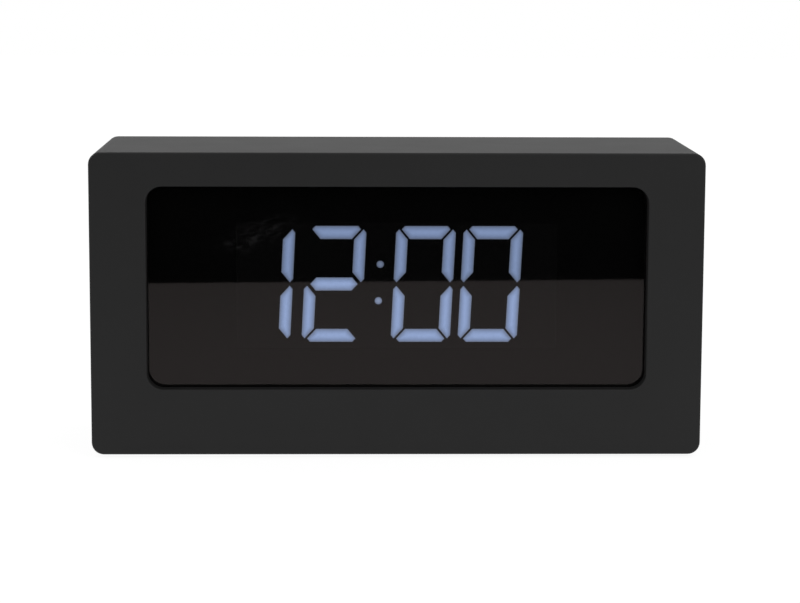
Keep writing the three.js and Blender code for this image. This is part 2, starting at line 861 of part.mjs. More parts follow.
function coverHoles() {
  const depth = coverThickness + 2 * overrun;
  const start = coverInner - overrun;
  const keyHole = roundedOutline(
    keyWidth + 2 * keyClearance, keyHeight + 2 * keyClearance, keyCornerRadius + keyClearance,
  );
  const keys = keyPlaces().map((x) => plate(keyHole, depth, 1).translate(x, start, keyBoardRise));
  const slotWidth = slideGripWidth + slideTravel + 2 * keyClearance;
  const slotHeight = slideGripHeight + 2 * keyClearance;
  const slot = plate(roundedOutline(slotWidth, slotHeight, keyClearance), depth, 1)
    .translate(slideX, start, keyBoardRise);
  const socket = rod(socketCollarRadius + keyClearance, depth, 20).translate(socketX, start, keyBoardRise);
  const sound = Array.from({ length: soundSlotCount }, (_, i) => {
    const z = (i - (soundSlotCount - 1) / 2) * soundSlotSpacing;
    const reach = Math.sqrt(buzzerRadius ** 2 - z ** 2);
    return plate(roundedOutline(2 * reach, soundSlotHeight, soundSlotHeight / 2), depth, 1)
      .translate(buzzerX, start, keyBoardRise + z);
  });
  return [...keys, slot, socket, ...sound];
}

function bayTray() {
  const depth = coverInner + joinDepth - bayFloor + bayWall;
  const endWall = bayWall + contactThickness + contactSlack + contactLip;
  return block(bayWidth + 2 * endWall, depth, bayHeight + 2 * bayWall)
    .translate(0, bayFloor - bayWall, bayCentre);
}

function bayHollow() {
  const depth = coverOuter - bayFloor + overrun;
  const hollow = block(bayWidth, depth, bayHeight).translate(0, bayFloor, bayCentre);
  const saddles = bayCells().slice(1).map(({ z }) => block(bayWidth, saddleHeight + overrun, saddleWidth)
    .translate(0, bayFloor - overrun, z - cellSpacing / 2));
  const ledges = [-1, 1].map((side) => {
    const width = (bayWidth - latchWidth) / 2 - latchSlit;
    const rise = bayCentre + bayHeight / 2 + (overrun - ledgeDepth) / 2;
    return block(width, ledgeHeight, ledgeDepth + overrun)
      .translate(side * (bayWidth - width) / 2, doorInner - ledgeHeight, rise);
  });
  const notchTop = latchLeg + latchSlit + latchPad + latchGap;
  const notchDepth = doorThickness + latchReach + latchGap + overrun;
  const latchNotch = block(latchWidth + 2 * latchSlit, notchDepth, notchTop + overrun)
    .translate(0, doorInner - latchReach - latchGap, bayCentre + bayHeight / 2 + (notchTop - overrun) / 2);
  const doorSeat = block(doorWidth + 2 * doorClearance, doorThickness + overrun, bayHeight)
    .translate(0, doorInner, bayCentre);
  return [carve(hollow, saddles, ledges), doorSeat, latchNotch, ...hingeSlots(), ...contactPockets()];
}

function hingeSlots() {
  const depth = doorInner - coverInner + hingeTabThickness + 2 * hingeGap + hingeNeck;
  const rise = bayCentre - (bayHeight + bayWall) / 2;
  return [-1, 1].map((side) =>
    block(hingeTabWidth + 2 * hingeSlack, depth + bayWall, bayWall + 2 * overrun)
      .translate(side * hingeTabSpread / 2, coverInner - depth - bayWall, rise));
}

// Pockets in the bay's end walls: a slot that holds each contact and a window that shows it
function contactPockets() {
  const slotThickness = contactThickness + contactSlack;
  return contactPlaces().flatMap(({ side, z, span }) => {
    const slotX = side * (bayWidth / 2 + contactLip + slotThickness / 2);
    const windowWide = span - contactWidth + contactWindow;
    return [
      block(slotThickness, doorInner - bayFloor + overrun, span + 2 * contactSlack)
        .translate(slotX, bayFloor, z),
      block(contactLip + 2 * joinDepth, doorInner - bayFloor + overrun, windowWide)
        .translate(side * (bayWidth / 2 + contactLip / 2), bayFloor, z),
      block(slotThickness, bayWall + 2 * overrun, tabWidth + 2 * contactSlack)
        .translate(slotX, bayFloor - bayWall - overrun, z),
    ];
  });
}

// The four contacts: their end of the bay, height, span and the cells' springs and nubs they meet
function contactPlaces() {
  const [low, mid, high] = bayCells().map(({ z }) => z);
  return [
    { name: 'negative_terminal', side: -1, z: low, span: contactWidth, springs: [0] },
    { name: 'link_contact_left', side: -1, z: (mid + high) / 2, span: contactWidth + cellSpacing,
      springs: [cellSpacing / 2] },
    { name: 'link_contact_right', side: 1, z: (low + mid) / 2, span: contactWidth + cellSpacing,
      springs: [cellSpacing / 2] },
    { name: 'positive_terminal', side: 1, z: high, span: contactWidth, springs: [] },
  ];
}

// A conical spring along +X, wide at x = 0, as one unbroken tube
function coneSpring() {
  const steps = springTurns * springSteps;
  const rings = Array.from({ length: steps + 1 }, (_, i) => {
    const share = i / steps;
    const turn = 2 * Math.PI * springTurns * share;
    const reach = THREE.MathUtils.lerp(springBaseRadius, springTipRadius, share);
    const x = share * (springLength - springWireRadius);
    return ringPoints(springWireRadius, springSides).map(([out, along]) => [
      x + along,
      (reach + out) * Math.cos(turn),
      (reach + out) * Math.sin(turn),
    ]);
  });
  const faces = [];
  for (let ring = 0; ring < steps; ring += 1) {
    for (let i = 0; i < springSides; i += 1) {
      const here = ring * springSides + i;
      const beside = ring * springSides + (i + 1) % springSides;
      faces.push(beside, here, here + springSides, beside, here + springSides, beside + springSides);
    }
  }
  const last = steps * springSides;
  for (let i = 1; i < springSides - 1; i += 1) {
    faces.push(0, i, i + 1, last, last + i + 1, last + i);
  }
  const geometry = new THREE.BufferGeometry();
  geometry.setAttribute('position', new THREE.Float32BufferAttribute(rings.flat(2), 3));
  geometry.setIndex(faces);
  return geometry;
}

// A contact plate with its tab below the bay floor, its springs pointing along +X
function contact(span, springs) {
  const sheet = block(contactThickness, contactHeight, span).translate(-contactThickness / 2, 0, 0);
  const tab = block(contactThickness, bayWall + tabReach + joinDepth, tabWidth)
    .translate(-contactThickness / 2, -bayWall - tabReach, 0);
  const coils = springs.map((z) => coneSpring().translate(0, cellAxisY - bayFloor, z));
  return fuse(sheet, tab, coils);
}

function batteryCell() {
  const shoulder = nubHeight / 2;
  return turned([
    [0, 0],
    [cellRadius - shoulder, 0],
    [cellRadius, shoulder],
    [cellRadius, cellLength - nubHeight - shoulder],
    [cellRadius - shoulder, cellLength - nubHeight],
    [nubRadius, cellLength - nubHeight],
    [nubRadius, cellLength],
    [0, cellLength],
  ], 14);
}

// Door: plate, two hinge tabs below and a folded spring latch above.
// Its own origin is the hinge line: the lower edge of its outer face.
function batteryDoor() {
  const sheet = plate(roundedOutline(doorWidth, doorHeight, sheetCornerRadius), doorThickness, 1)
    .translate(0, -doorThickness, doorHeight / 2);
  const tabFront = -(coverThickness + hingeGap + hingeTabThickness);
  const tabs = [-1, 1].flatMap((side) => {
    const x = side * hingeTabSpread / 2;
    return [
      block(hingeTabWidth, -tabFront - doorThickness + joinDepth, hingeNeck)
        .translate(x, tabFront, hingeNeck / 2),
      block(hingeTabWidth, hingeTabThickness, hingeNeck + hingeTabReach)
        .translate(x, tabFront, (hingeNeck - hingeTabReach) / 2),
    ];
  });
  const foldFront = -doorThickness - latchReach;
  const innerLeg = block(latchWidth, latchReach + joinDepth, latchLeg)
    .translate(0, foldFront, doorHeight - latchLeg / 2);
  const bridge = block(latchWidth, latchLeg, 2 * latchLeg + latchSlit)
    .translate(0, foldFront, doorHeight + latchSlit / 2);
  const outerLeg = block(latchWidth, latchReach + doorThickness, latchLeg)
    .translate(0, foldFront, doorHeight + latchSlit + latchLeg / 2);
  const pad = block(latchWidth, doorThickness, latchLeg + latchPad - joinDepth)
    .translate(0, -doorThickness, doorHeight + latchSlit + (latchLeg + latchPad - joinDepth) / 2);
  const grips = Array.from({ length: gripCount }, (_, i) =>
    block(gripWidth, gripProud + joinDepth, gripHeight)
      .translate(0, -joinDepth, doorHeight - gripInset - i * gripSpacing));
  return fuse(sheet, tabs, innerLeg, bridge, outerLeg, pad, grips);
}

// Keys, their switches and the rest of the key board
function keyBoard() {
  const sheet = block(keyBoardWidth, boardThickness, keyBoardHeight);
  const holes = [-1, 1].map((side) => rod(screwRadius + boreClearance, boardThickness + 2 * overrun, 10)
    .translate(side * keyBossX(), -overrun, 0));
  return carve(sheet, holes);
}

function keyButton() {
  const flangeFront = coverInner - keyBackGap - keyFlangeThickness;
  const capDepth = coverOuter + keyProud - flangeFront;
  const cap = plate(roundedOutline(keyWidth, keyHeight, keyCornerRadius), capDepth, 1);
  const flange = block(keyWidth + 2 * keyFlange, keyFlangeThickness, keyHeight + 2 * keyFlange);
  return fuse(cap, flange);
}

function switchBody() {
  const well = plungerRoot + keyTravel + plungerGap;
  return carve(
    block(switchSide, switchHeight, switchSide),
    rod(plungerRadius + keyClearance, well + overrun, 12).translate(0, switchHeight - well, 0),
  );
}

function switchPlunger() {
  const flangeFront = coverInner - keyBackGap - keyFlangeThickness;
  const length = flangeFront - plungerGap - (keyBoardRear + switchHeight - plungerRoot);
  return rod(plungerRadius, length, 12);
}

function slideSwitchBody() {
  const slotWidth = slideLeverWidth + slideTravel + 2 * keyClearance;
  return carve(
    block(slideBodyWidth, slideBodyDepth, slideBodyHeight),
    block(slotWidth, slideLeverRoot + keyClearance + overrun, slideLeverHeight + 2 * keyClearance)
      .translate(0, slideBodyDepth - slideLeverRoot - keyClearance, 0),
  );
}

// The knob stands at the left end of its travel; its own origin is the lever's joinDepth
function slideKnob() {
  const leverFront = keyBoardRear + slideBodyDepth - slideLeverRoot;
  const flangeFront = coverInner - keyBackGap - keyFlangeThickness;
  const lever = block(slideLeverWidth, flangeFront - leverFront + joinDepth, slideLeverHeight);
  const flangeWidth = slideGripWidth + 2 * slideTravel + slideCover;
  const flange = block(flangeWidth, keyFlangeThickness, slideGripHeight + slideCover)
    .translate(0, flangeFront - leverFront, 0);
  const grip = plate(
    roundedOutline(slideGripWidth, slideGripHeight, keyClearance), coverOuter + keyProud - flangeFront, 1,
  ).translate(0, flangeFront - leverFront, 0);
  return fuse(lever, flange, grip);
}

function powerSocket() {
  const depth = coverInner - socketGap - keyBoardRear;
  const full = depth + socketGap + coverThickness - socketGap;
  const body = block(socketWidth, depth, socketHeight);
  const collar = rod(socketCollarRadius, full - joinDepth, 20).translate(0, joinDepth, 0);
  const bore = rod(socketBoreRadius, socketBoreDepth + overrun, 16).translate(0, full - socketBoreDepth, 0);
  const pinSeat = rod(socketPinRadius + boreClearance, socketPinRoot + overrun, 10)
    .translate(0, full - socketBoreDepth - socketPinRoot, 0);
  return carve(fuse(body, collar), bore, pinSeat);
}

function socketPin() {
  return rod(socketPinRadius, socketBoreDepth + socketPinRoot - socketPinSetback, 10);
}

function buzzer() {
  return carve(
    rod(buzzerRadius, buzzerHeight, 20),
    rod(buzzerHoleRadius, 2 * overrun, 10).translate(0, buzzerHeight - overrun, 0),
  );
}

// Flat cable in the plane x = 0, an S between two boards, then widened along X
function ribbonCable(reach, climb) {
  const run = new THREE.CubicBezierCurve(
    new THREE.Vector2(0, 0),
    new THREE.Vector2(reach * ribbonEaseShare, 0),
    new THREE.Vector2(reach * (1 - ribbonEaseShare), climb),
    new THREE.Vector2(reach, climb),
  );
  const steps = 10;
  const edge = (side) => Array.from({ length: steps + 1 }, (_, i) => {
    const along = run.getTangent(i / steps);
    const point = run.getPoint(i / steps);
    return new THREE.Vector2(
      point.x - along.y * side * ribbonThickness / 2,
      point.y + along.x * side * ribbonThickness / 2,
    );
  });
  const outline = new THREE.Shape([...edge(-1), ...edge(1).reverse()]);
  return new THREE.ExtrudeGeometry(outline, { depth: ribbonWidth, bevelEnabled: false })
    .translate(0, 0, -ribbonWidth / 2)
    .rotateX(Math.PI / 2)
    .rotateZ(Math.PI / 2);
}

// A wire from a contact's tab forward to its pad on the main board
function wire(start, end) {
  const lead = new THREE.Vector3(0, (start.y - end.y) * wireLeadShare, 0);
  const route = new THREE.CubicBezierCurve3(start, start.clone().addScaledVector(lead, -1),
    end.clone().add(lead), end);
  const section = new THREE.Shape(ringPoints(wireRadius, 6).map(([x, y]) => new THREE.Vector2(x, y)));
  return new THREE.ExtrudeGeometry(section, { extrudePath: route, steps: 10, bevelEnabled: false });
}

// Assembly: everything hangs on the middle of the body
const clock = new THREE.Group();
const body = new THREE.Group();
body.position.z = bodyCentre;
clock.add(body);
addPiece(body, 'housing', housing(), charcoal);
footPlaces().forEach(([x, y], i) => {
  addPiece(body, `foot_${i + 1}`, foot(), rubber, x, y, -bodyHeight / 2 - footProud);
});

const windowParts = new THREE.Group();
windowParts.position.z = windowRise;
body.add(windowParts);
addPiece(windowParts, 'lens_tape', lensTape(), foam, 0, lensFront - tapeThickness);
addPiece(windowParts, 'display_lens', lens(), smoked, 0, lensFront);
addPiece(windowParts, 'lens_gasket', lensGasket(), foam, 0, lensRear);
addPiece(windowParts, 'display_carrier', displayCarrier(), blackPlastic, 0, carrierFront);
carrierPostPlaces().forEach(([x, z], i) => {
  const fixing = screw(screwRadius, screwHeadRadius, screwHeadHeight, carrierThickness + screwBite);
  addPiece(windowParts, `carrier_screw_${i + 1}`, fixing, steel, x, carrierRear, z);
});

const moduleParts = new THREE.Group();
moduleParts.position.z = -moduleDrop;
windowParts.add(moduleParts);
const openings = lightOpenings();
addPiece(moduleParts, 'segment_mask', segmentMask(openings), blackPlastic, 0, maskFront);
addPiece(moduleParts, 'segment_diffuser', segmentDiffuser(), milky, 0, diffuserFront);
addPiece(moduleParts, 'light_reflector', lightReflector(openings), whitePlastic, 0, reflectorFront);
addPiece(moduleParts, 'display_board', displayBoard(openings), boardGreen, 0, displayBoardFront);
addPiece(moduleParts, 'pin_header', pinHeader(), blackPlastic, 0, headerFront, -headerDrop);

addPiece(windowParts, 'main_board', mainBoard(), boardGreen, 0, mainBoardFront);
addPiece(windowParts, 'controller_chip', controllerChip(), blackPlastic, controllerX, mainBoardRear);
addPiece(windowParts, 'crystal', crystal(), nickel, crystalX, mainBoardRear, crystalZ);
addPiece(windowParts, 'capacitor', capacitor(), nickel, capacitorX, mainBoardRear, capacitorZ);
carrierBoardPosts().filter(([x, z]) => x * z > 0).forEach(([x, z], i) => {
  const fixing = screw(screwRadius, screwHeadRadius, screwHeadHeight, boardThickness + screwBite);
  addPiece(windowParts, `board_screw_${i + 1}`, fixing, steel, x, mainBoardRear, z);
});

addPiece(body, 'rear_cover', rearCover(), charcoal);
corners(cornerPostX, cornerPostZ).forEach(([x, z], i) => {
  const length = coverBossFloor + coverScrewBite;
  const fixing = screw(coverScrewRadius, coverScrewHeadRadius, coverScrewHeadHeight, length);
  addPiece(body, `cover_screw_${i + 1}`, fixing, steel, x, postEnd + coverBossFloor, z);
});

// The cells lie on their sides, every other one turned end for end
bayCells().forEach(({ z, side }, i) => {
  const cell = addPiece(body, `battery_${i + 1}`, batteryCell(), cellSleeve);
  cell.rotation.z = -side * Math.PI / 2;
  cell.position.set(side * (contactSpan / 2 - cellSeatGap - cellLength), cellAxisY, z);
});
contactPlaces().forEach(({ name, side, z, span, springs }) => {
  const strip = addPiece(body, name, contact(span, springs.map((place) => -side * place)), nickel);
  strip.rotation.y = side > 0 ? Math.PI : 0;
  strip.position.set(side * contactSpan / 2, bayFloor, z);
});
addPiece(body, 'battery_door', batteryDoor(), charcoal, 0, coverOuter, bayCentre - doorHeight / 2);

const keys = new THREE.Group();
keys.position.z = keyBoardRise;
body.add(keys);
addPiece(keys, 'key_board', keyBoard(), boardGreen, 0, keyBoardFront);
const plungerFront = keyBoardRear + switchHeight - plungerRoot;
keyPlaces().forEach((x, i) => {
  addPiece(keys, `switch_body_${i + 1}`, switchBody(), blackPlastic, x, keyBoardRear);
  addPiece(keys, `switch_plunger_${i + 1}`, switchPlunger(), whitePlastic, x, plungerFront);
  addPiece(keys, `button_${i + 1}`, keyButton(), charcoal, x, coverInner - keyBackGap - keyFlangeThickness);
});
addPiece(keys, 'slide_switch_body', slideSwitchBody(), nickel, slideX, keyBoardRear);
addPiece(keys, 'slide_knob', slideKnob(), charcoal, slideX - slideTravel / 2,
  keyBoardRear + slideBodyDepth - slideLeverRoot);
addPiece(keys, 'power_socket', powerSocket(), blackPlastic, socketX, keyBoardRear);
const socketPinFront = coverOuter - socketGap - socketBoreDepth - socketPinRoot;
addPiece(keys, 'socket_pin', socketPin(), nickel, socketX, socketPinFront);
addPiece(keys, 'buzzer', buzzer(), blackPlastic, buzzerX, keyBoardRear);
[-1, 1].forEach((side, i) => {
  const fixing = screw(screwRadius, screwHeadRadius, screwHeadHeight, boardThickness + screwBite);
  const mesh = addPiece(keys, `key_board_screw_${i + 1}`, fixing, steel, side * keyBossX(), keyBoardFront);
  mesh.rotation.x = Math.PI;
});

const ribbonStart = windowRise + ribbonMainRise;
const ribbonReach = keyBoardFront - mainBoardRear - 2 * wireGap;
const ribbonClimb = keyBoardRise - ribbonKeyDrop - ribbonStart;
addPiece(body, 'ribbon_cable', ribbonCable(ribbonReach, ribbonClimb), ribbonGrey,
  ribbonX, mainBoardRear + wireGap, ribbonStart);

const tabX = (contactSpan + contactThickness) / 2;
const wireStart = bayFloor - bayWall - tabReach - wireGap;
const padZ = windowRise - mainBoardHeight / 2 + padRise;
const [lowCell, , highCell] = bayCells();
addPiece(body, 'battery_wire_negative', wire(
  new THREE.Vector3(-tabX, wireStart, lowCell.z),
  new THREE.Vector3(negativePadX, mainBoardRear + wireGap, padZ),
), blackWire);
addPiece(body, 'battery_wire_positive', wire(
  new THREE.Vector3(tabX, wireStart, highCell.z),
  new THREE.Vector3(positivePadX, mainBoardRear + wireGap, padZ),
), redWire);

export default clock;
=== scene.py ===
"""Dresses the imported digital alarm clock: its moulded case, lit display, rear fittings and the studio."""

import json
import math

import bpy
from bpy.props import FloatProperty, FloatVectorProperty, PointerProperty
from mathutils import Matrix, Vector


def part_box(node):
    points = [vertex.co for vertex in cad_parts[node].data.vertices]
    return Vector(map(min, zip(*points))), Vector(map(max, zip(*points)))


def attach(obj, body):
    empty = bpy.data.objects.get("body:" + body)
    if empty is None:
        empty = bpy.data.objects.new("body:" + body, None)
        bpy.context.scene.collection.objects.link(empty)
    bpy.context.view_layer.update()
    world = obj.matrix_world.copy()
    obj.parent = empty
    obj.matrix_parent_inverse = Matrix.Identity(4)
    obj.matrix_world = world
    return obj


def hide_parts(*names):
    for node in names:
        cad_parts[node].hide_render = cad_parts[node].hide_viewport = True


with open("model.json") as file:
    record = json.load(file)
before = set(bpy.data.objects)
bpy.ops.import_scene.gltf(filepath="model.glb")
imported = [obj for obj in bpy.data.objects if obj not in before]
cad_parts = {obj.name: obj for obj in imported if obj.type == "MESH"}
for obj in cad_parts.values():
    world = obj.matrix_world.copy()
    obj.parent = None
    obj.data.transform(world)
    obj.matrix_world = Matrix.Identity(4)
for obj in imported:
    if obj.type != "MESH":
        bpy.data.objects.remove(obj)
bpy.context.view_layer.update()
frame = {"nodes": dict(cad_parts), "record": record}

bl_info = {
    "name": "Digital Alarm Clock",
    "version": (1, 0, 0),
    "blender": (4, 5, 0),
    "location": "View3D > Sidebar > Clock",
    "description": "Dresses the packed model of a digital alarm clock",
    "category": "Object",
}

NODES = frame["nodes"]
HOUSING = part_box("housing")
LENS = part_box("display_lens")
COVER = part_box("rear_cover")
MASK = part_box("segment_mask")

# Lengths are in metres. An edge within TOUCH of a face lies on it, and corners within WELD become one.
# A face looks along an axis where its normal has at least FACING of it.
MM = 0.001
TOUCH = 0.01 * MM
WELD = 0.001 * MM
FACING = 0.99

# The film glows less at a segment's rim than inside it. The lower half of the display glows brighter: a
# painted reflection of the pale floor that the lens mirrors there.
RIM_GLOW = 0.45
UPPER_BARS = {"top", "upper_left", "upper_right"}
UPPER_LEVEL = 0.98
LOWER_LEVEL_WITH_PAINTED_REFLECTION = 1.24
UPPER_DOT_LEVEL = 0.66
LOWER_DOT_LEVEL_WITH_PAINTED_REFLECTION = 0.98

WHITE = (1, 1, 1, 1)


class ClockSizes(bpy.types.PropertyGroup):
    """Lengths of the case and the display"""

    corner_radius: FloatProperty(
        name="Corner radius", description="Radius of the case's four long edges",
        default=3.2 * MM, unit="LENGTH")
    edge_radius: FloatProperty(
        name="Edge radius", description="Rounding of the case's front and rear edges",
        default=0.55 * MM, unit="LENGTH")
    lip_radius: FloatProperty(
        name="Lip radius", description="Rounding of the edge round the window",
        default=0.45 * MM, unit="LENGTH")
    wall: FloatProperty(
        name="Wall", description="Wall thickness of the case", default=2.4 * MM, unit="LENGTH")
    side_bezel: FloatProperty(
        name="Side bezel", description="Case beside the window", default=14.7 * MM, unit="LENGTH")
    top_bezel: FloatProperty(
        name="Top bezel", description="Case above the window", default=8.9 * MM, unit="LENGTH")
    bottom_bezel: FloatProperty(
        name="Bottom bezel", description="Case below the window", default=17.4 * MM, unit="LENGTH")
    window_radius: FloatProperty(
        name="Window radius", description="Corner radius of the window", default=4.2 * MM, unit="LENGTH")
    digit_width: FloatProperty(
        name="Digit width", description="Width of one digit", default=15.7 * MM, unit="LENGTH")
    digit_height: FloatProperty(
        name="Digit height", description="Height of one digit", default=30.85 * MM, unit="LENGTH")
    digit_slant: FloatProperty(
        name="Digit slant", description="Lean of the digits to the right", default=math.radians(2.8),
        unit="ROTATION")


class ClockColours(bpy.types.PropertyGroup):
    """Colours of the main finishes"""

    case: FloatVectorProperty(
        name="Case", description="Charcoal of the moulded case", default=(0.009, 0.009, 0.0091),
        subtype="COLOR", size=3, min=0, max=1)
    light: FloatVectorProperty(
        name="Light", description="Cool white of the lit segments", default=(0.425, 0.572, 0.95),
        subtype="COLOR", size=3, min=0, max=1)
    rim_light: FloatVectorProperty(
        name="Rim light", description="Paler light of the segments' rims and the dots",
        default=(0.445, 0.552, 0.814), subtype="COLOR", size=3, min=0, max=1)


# Materials

def new_material(name):
    """A new material, with its nodes and its links"""
    material = bpy.data.materials.new(name)
    material.use_nodes = True
    return material, material.node_tree.nodes, material.node_tree.links


def noise(nodes, links, size, detail=2):
    """Noise over the piece whose patches are about size metres across"""
    place = nodes.new("ShaderNodeTexCoord")
    pattern = nodes.new("ShaderNodeTexNoise")
    pattern.inputs["Scale"].default_value = 1 / size
    pattern.inputs["Detail"].default_value = detail
    links.new(place.outputs["Object"], pattern.inputs["Vector"])
    return pattern.outputs["Fac"]


def spread(nodes, links, value, low, high):
    """Carry a noise value, which mostly lies between 0.3 and 0.7, onto the range low to high"""
    scale = nodes.new("ShaderNodeMapRange")
    scale.inputs["From Min"].default_value = 0.3
    scale.inputs["From Max"].default_value = 0.7
    scale.inputs["To Min"].default_value = low
    scale.inputs["To Max"].default_value = high
    links.new(value, scale.inputs["Value"])
    return scale.outputs["Result"]


def tint(nodes, links, value, first, second):
    """Blend from the first colour to the second by a value"""
    blend = nodes.new("ShaderNodeMix")
    blend.data_type = "RGBA"
    blend.inputs["A"].default_value = (*first, 1)
    blend.inputs["B"].default_value = (*second, 1)
    links.new(value, blend.inputs["Factor"])
    return blend.outputs["Result"]


def product(nodes, links, first, second, clamp=False):
    """Multiply two values"""
    multiply = nodes.new("ShaderNodeMath")
    multiply.operation = "MULTIPLY"
    multiply.use_clamp = clamp
    links.new(first, multiply.inputs[0])
    links.new(second, multiply.inputs[1])
    return multiply.outputs[0]


def surface(name, colour, roughness, drift=0.12, patch=20 * MM, grain=0.4 * MM, relief=0.02 * MM,
            metallic=0, index=1.5):
    """A worked surface: tone and gloss drift in patches, with a fine grain over them"""
    material, nodes, links = new_material(name)
    shader = nodes["Principled BSDF"]
    shader.inputs["Metallic"].default_value = metallic
    shader.inputs["IOR"].default_value = index
    patches = noise(nodes, links, patch, detail=3)
    tone = spread(nodes, links, patches, 0, 1)
    dark = [channel * (1 - drift) for channel in colour]
    pale = [channel * (1 + drift) for channel in colour]
    links.new(tint(nodes, links, tone, dark, pale), shader.inputs["Base Color"])
    dull, glossy = roughness * (1 + drift / 2), roughness * (1 - drift / 2)
    links.new(spread(nodes, links, patches, dull, glossy), shader.inputs["Roughness"])
    bump = nodes.new("ShaderNodeBump")
    bump.inputs["Distance"].default_value = relief
    bump.inputs["Strength"].default_value = 0.6
    links.new(noise(nodes, links, grain), bump.inputs["Height"])
    links.new(bump.outputs["Normal"], shader.inputs["Normal"])
    return material


def satin_charcoal(colour):
    """The case's moulded plastic, with a fine spark-eroded texture"""
    if "satin charcoal" in bpy.data.materials:
        return bpy.data.materials["satin charcoal"]
    return surface("satin charcoal", colour, 0.6, drift=0.035, patch=12 * MM, grain=0.35 * MM, index=1.36)


def smoked_acrylic():
    """Dark polished acrylic that passes a fifth of the light, with a faint wiped haze at its upper left"""
    clean, dusty = (0.0015, 0.0015, 0.0015), (0.011, 0.011, 0.0112)
    haze_middle = (-36.5 * MM, LENS[0].y, 58.8 * MM)
    haze_reach = (14 * MM, 10 * MM, 4.6 * MM)
    haze_lean = math.radians(-20)
    faintest, strongest = -1.2, 1.6
    material, nodes, links = new_material("smoked acrylic")
    shader = nodes["Principled BSDF"]
    shader.inputs["Roughness"].default_value = 0.02
    shader.inputs["IOR"].default_value = 1.36
    shader.inputs["Alpha"].default_value = 0.8
    shader.inputs["Specular Tint"].default_value = (1, 0.88, 0.86, 1)
    place = nodes.new("ShaderNodeTexCoord")
    around = nodes.new("ShaderNodeMapping")
    around.vector_type = "TEXTURE"
    around.inputs["Location"].default_value = haze_middle
    around.inputs["Rotation"].default_value = (0, haze_lean, 0)
    around.inputs["Scale"].default_value = haze_reach
    links.new(place.outputs["Object"], around.inputs["Vector"])
    nearness = nodes.new("ShaderNodeTexGradient")
    nearness.gradient_type = "SPHERICAL"
    links.new(around.outputs["Vector"], nearness.inputs["Vector"])
    wipes = nodes.new("ShaderNodeTexNoise")
    wipes.inputs["Scale"].default_value = 4.5
    wipes.inputs["Detail"].default_value = 4
    links.new(around.outputs["Vector"], wipes.inputs["Vector"])
    streaks = spread(nodes, links, wipes.outputs["Fac"], faintest, strongest)
    haze = product(nodes, links, nearness.outputs["Fac"], streaks, clamp=True)
    links.new(tint(nodes, links, haze, clean, dusty), shader.inputs["Base Color"])
    return material


def lit_film(light, rim_light):
    """Backlit film: bright and blue inside each segment, dimmer and paler towards its rim

    The mesh says where: its attribute glow is the level of the light, raised on the lower half by a painted
    reflection, and inside is 0 at the rim.
    """
    brightness, drift = 12.6, 0.04
    material, nodes, links = new_material("lit film")
    shader = nodes["Principled BSDF"]
    shader.inputs["Base Color"].default_value = (0.05, 0.06, 0.08, 1)
    shader.inputs["Roughness"].default_value = 0.5
    glow = nodes.new("ShaderNodeAttribute")
    glow.attribute_name = "glow"
    inside = nodes.new("ShaderNodeAttribute")
    inside.attribute_name = "inside"
    links.new(tint(nodes, links, inside.outputs["Fac"], rim_light, light), shader.inputs["Emission Color"])
    patches = noise(nodes, links, 0.9 * MM)
    level = spread(nodes, links, patches, brightness * (1 - drift), brightness * (1 + drift))
    links.new(product(nodes, links, glow.outputs["Fac"], level), shader.inputs["Emission Strength"])
    return material


# Modelling with Blender's operators

def begin():
    """Leave edit mode with nothing selected"""
    if bpy.context.mode != "OBJECT":
        bpy.ops.object.mode_set(mode="OBJECT")
    bpy.ops.object.select_all(action="DESELECT")


def select_only(*objects):
    """Select these objects and make the first the active one"""
    begin()
    for piece in objects:
        piece.select_set(True)
    bpy.context.view_layer.objects.active = objects[0]


def settle():
    """Put the active piece's origin at the world's, with its place in its mesh"""
    bpy.ops.object.transform_apply(location=True, rotation=True, scale=True)


def rounded_block(name, low, high, radius, steps=8):
    """A block between two corners, its four edges along Y rounded"""
    begin()
    low, high = Vector(low), Vector(high)
    bpy.ops.mesh.primitive_cube_add(size=1, location=(low + high) / 2)
    block = bpy.context.object
    block.name = name
    block.scale = high - low
    settle()
    bpy.ops.object.mode_set(mode="EDIT")
    bpy.ops.mesh.select_mode(type="EDGE")
    select_edges(block, lambda start, end: abs(start.y - end.y) > (high.y - low.y) / 2)
    bpy.ops.mesh.bevel(offset=radius, segments=steps, affect="EDGES")
    bpy.ops.object.mode_set(mode="OBJECT")
    return block


def rounded_post(name, x, z, half_width, half_height, front, rear, radius, steps=2):
    """A rounded block about the line at x and z, from front to rear along Y"""
    low = (x - half_width, front, z - half_height)
    high = (x + half_width, rear, z + half_height)
    return rounded_block(name, low, high, radius, steps)


def select_edges(piece, keep):
    """In edit mode, select the edges for which keep(start, end) holds"""
    bpy.ops.object.mode_set(mode="OBJECT")
    places = [vertex.co for vertex in piece.data.vertices]
    for part in (piece.data.vertices, piece.data.polygons):
        for item in part:
            item.select = False
    for edge in piece.data.edges:
        edge.select = keep(*(places[i] for i in edge.vertices))
    bpy.ops.object.mode_set(mode="EDIT")


def select_faces(piece, keep):
    """In edit mode, select the faces for which keep(face) holds"""
    bpy.ops.object.mode_set(mode="OBJECT")
    for part in (piece.data.vertices, piece.data.edges):
        for item in part:
            item.select = False
    for face in piece.data.polygons:
        face.select = keep(face)
    bpy.ops.object.mode_set(mode="EDIT")


def on_rear(high):
    """A test for the edges that lie on the rear face of a piece with this highest corner"""
    return lambda start, end: min(start.y, end.y) > high.y - TOUCH


def round_edges(piece, radius, keep, steps=4):
    """Round the edges for which keep(start, end) holds"""
    select_only(piece)
    bpy.ops.object.mode_set(mode="EDIT")
    bpy.ops.mesh.select_mode(type="EDGE")
    select_edges(piece, keep)
    bpy.ops.mesh.bevel(offset=radius, segments=steps, affect="EDGES")
    bpy.ops.object.mode_set(mode="OBJECT")


